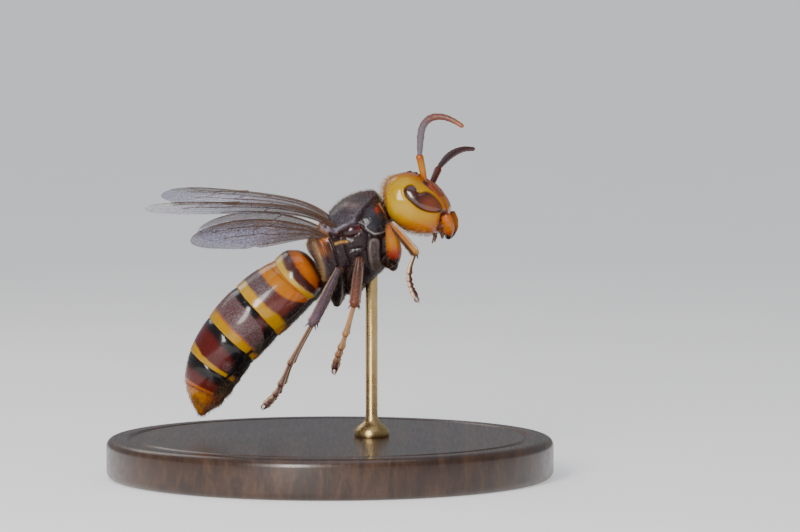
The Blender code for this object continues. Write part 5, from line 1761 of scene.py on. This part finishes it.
def grow_hair(head, thorax, gaster, limbs):
    """Short hair on the head, the thorax and the gaster, and bristles on the legs."""
    spots = places(head)
    x, _, z = spots.T
    crown = rise(8.9 - x, 0.0, 1.6) * rise(z, 34.2, 36.5)
    chin = rise(32.2 - z, 0.0, 1.2) * (x > 8.0)
    roots, normals, tones, flat = scatter(head, HAIRS["head"], 0.04 + 1.2 * crown + 0.7 * chin)
    long = 0.24 + 0.70 * rise(8.6 - roots[:, 0], 0.0, 1.6) + 0.25 * rise(32.0 - roots[:, 2], 0.0, 1.0)
    out = lying(normals, (-0.6, 0.0, -0.4), 0.72)
    tones = mixed(tones, (0.72, 0.55, 0.34), 0.7)
    coat_of_hair("head_hair", roots, out, long * chance.uniform(0.6, 1.1, len(roots)), 0.012, tones, flat,
                 "head_shell")

    t = noted(thorax, "along_body")
    spots = places(thorax)
    fluff = noted(thorax, "fluff")
    gold = noted(thorax, "gold")
    want = 0.35 + 0.4 * rise(spots[:, 2], 33.0, 35.0) + 3.5 * fluff + 5.0 * gold + 0.5 * (t < 2.0)
    roots, normals, tones, flat = scatter(thorax, HAIRS["thorax"], want)
    shade = chance.random(len(roots))
    tones = mixed((0.05, 0.030, 0.022), (0.34, 0.25, 0.19), shade ** 3 * 0.8)
    tones = mixed(tones, STRAW, 0.8 * (roots[:, 0] < -0.4))
    long = 0.24 + 0.12 * rise(roots[:, 2], 33.0, 35.5) + 0.20 * chance.random(len(roots)) ** 3
    out = lying(normals, (-0.9, 0.0, 0.1), 0.55, 0.28)
    coat_of_hair("thorax_hair", roots, out, long, 0.011, tones, flat, "thorax_shell")

    ring = noted(gaster, "ring")
    share = noted(gaster, "share")
    height = noted(gaster, "height")
    down = noted(gaster, "down_cover")
    low = rise(height - plate_edge(ring + share), -0.02, 0.03)
    gold = low * rise(share, 0.6, 0.7) * ((ring > 0) & (ring < 4))
    want = 0.06 + 1.8 * down + 0.5 * low + 3.0 * gold + 0.9 * (ring >= 4) + 0.4 * (ring == 0) * (share < 0.4)
    roots, normals, tones, flat = scatter(gaster, HAIRS["gaster"], want)
    bottom = rise(-normals[:, 2], 0.2, 0.8)
    rear = rise(13.5 - roots[:, 2], 0.0, 4.0)
    long = 0.12 + 0.30 * bottom + 0.30 * rear * chance.random(len(roots))
    aged = (0.25 + 0.35 * np.maximum(bottom, rear)) * fall(tones[:, 0], 0.2, 0.5)
    tones = mixed(tones, (0.24, 0.15, 0.08), aged)
    out = lying(normals, (-0.72, 0.0, -0.7), 0.35, 0.2)
    coat_of_hair("gaster_hair", roots, out, long, 0.010 + 0.004 * rear, tones, flat, "gaster_shell")

    for name, limb in limbs:
        roots, normals, tones, flat = scatter(limb, HAIRS["limb"], np.ones(len(limb.data.vertices)))
        tones = mixed(tones, (0.50, 0.30, 0.15), 0.55)
        out = lying(normals, (-0.1, 0.0, -1.0), 0.4, 0.2)
        coat_of_hair(name + "_bristles", roots, out, chance.uniform(0.12, 0.34, len(roots)), 0.010, tones,
                     flat, "leg_shell")


# Stand, floor, light and camera

def make_stand():
    """A round base with an eased edge and a sunk ring, and a rod that rises from a turned collar."""
    bpy.ops.mesh.primitive_cylinder_add(vertices=160, radius=BASE_RADIUS * MM, depth=BASE_HEIGHT * MM,
                                        location=(0, 0, BASE_HEIGHT * MM / 2))
    base = settled(named("stand_base_turned"))
    with editing():
        bpy.ops.mesh.select_all(action="DESELECT")
        for face in bmesh.from_edit_mesh(base.data).faces:
            face.select = face.normal.z > 0.9
        bmesh.update_edit_mesh(base.data)
        for inset, drop in BASE_INSETS:
            bpy.ops.mesh.inset(thickness=inset * MM, depth=drop * MM)
    ease = base.modifiers.new("eased edge", "BEVEL")
    ease.width = BASE_EDGE * MM
    ease.segments = 6
    ease.limit_method = "ANGLE"
    ease.angle_limit = radians(60.0)
    bpy.ops.object.modifier_apply(modifier=ease.name)
    bpy.ops.object.shade_smooth_by_angle(angle=radians(35.0))
    finished(base, "wood", "stand_wood", "stand_base")
    profile = [(BASE_HEIGHT + rise_of, COLLAR_RADIUS * wide) for rise_of, wide in COLLAR]
    profile += [(BASE_HEIGHT + rise_of, ROD_RADIUS * wide) for rise_of, wide in ROD_FOOT]
    profile += [(ROD_TOP * 0.5, ROD_RADIUS), (ROD_TOP, ROD_RADIUS)]
    bpy.ops.mesh.primitive_circle_add(vertices=48, radius=profile[0][1] * MM, fill_type="NGON",
                                      location=(ROD_X * MM, 0, profile[0][0] * MM))
    rod = settled(named("stand_rod_turned"))
    with editing():
        for (z0, r0), (z1, r1) in zip(profile[:-1], profile[1:]):
            bpy.ops.mesh.extrude_region_move(TRANSFORM_OT_translate={"value": (0, 0, (z1 - z0) * MM)})
            bpy.ops.transform.resize(value=(r1 / r0, r1 / r0, 1.0), center_override=(ROD_X * MM, 0, z1 * MM))
        bpy.ops.mesh.select_all(action="SELECT")
        bpy.ops.mesh.normals_make_consistent(inside=False)
    bpy.ops.object.shade_smooth_by_angle(angle=radians(40.0))
    finished(rod, "metal", "stand_metal", "stand_rod")


def make_floor():
    bpy.ops.mesh.primitive_circle_add(vertices=96, radius=FLOOR_RADIUS, fill_type="NGON", location=(0, 0, 0))
    floor = named("floor")
    floor.data.materials.append(FINISHES["floor"])


def make_light():
    world = bpy.data.worlds.new("studio")
    bpy.context.scene.world = world
    world.use_nodes = True
    sky = world.node_tree.nodes["Background"].inputs
    sky["Color"].default_value = SKY
    sky["Strength"].default_value = SKY_STRENGTH
    for name, energy, tone, place, sizes in LIGHTS:
        lamp = bpy.data.lights.new(name, "AREA")
        lamp.energy = energy
        lamp.color = tone
        lamp.shape = "RECTANGLE" if len(sizes) == 2 else "DISK"
        lamp.size, lamp.size_y = sizes[0], sizes[-1]
        item = bpy.data.objects.new(name, lamp)
        bpy.context.scene.collection.objects.link(item)
        item.location = Vector(place) * MM
        item.rotation_euler = (Vector(LIT) - Vector(place)).to_track_quat("-Z", "Y").to_euler()


def make_camera():
    lens = bpy.data.cameras.new("camera")
    lens.lens = CAMERA_LENS
    lens.sensor_width = 36.0
    lens.clip_start = 0.01
    lens.clip_end = CAMERA_SEES
    camera = bpy.data.objects.new("camera", lens)
    bpy.context.scene.collection.objects.link(camera)
    tilt = radians(CAMERA_RISE)
    camera.location = (Vector(LOOK_AT) + Vector((0.0, -cos(tilt), sin(tilt))) * CAMERA_DISTANCE) * MM
    camera.rotation_euler = Euler((pi / 2 - tilt, 0.0, 0.0))
    bpy.context.scene.camera = camera


def make_model():
    head = make_head()
    make_ocelli()
    make_mouth()
    for side, word in SIDES:
        make_eye(side, word)
        make_mandible(side, word)
        make_feeler(word)
        make_tegula(side, word)
    thorax = make_thorax()
    gaster = make_gaster()
    make_sting()
    for name, part, stations in JOINTS:
        make_joint(name, part, stations)
    limbs = []
    for pair in LEGS:
        for side, word in SIDES:
            thigh, shin = make_leg(pair, side, word)
            limbs.append(("leg_%s_%s_thigh" % (pair, word), thigh))
            limbs.append(("leg_%s_%s_shin" % (pair, word), shin))
    for kind in WINGS:
        for side, word in SIDES:
            make_wing(kind, side, word)
    grow_hair(head, thorax, gaster, limbs)


make_camera()
make_light()
make_floor()
make_model()
make_stand()
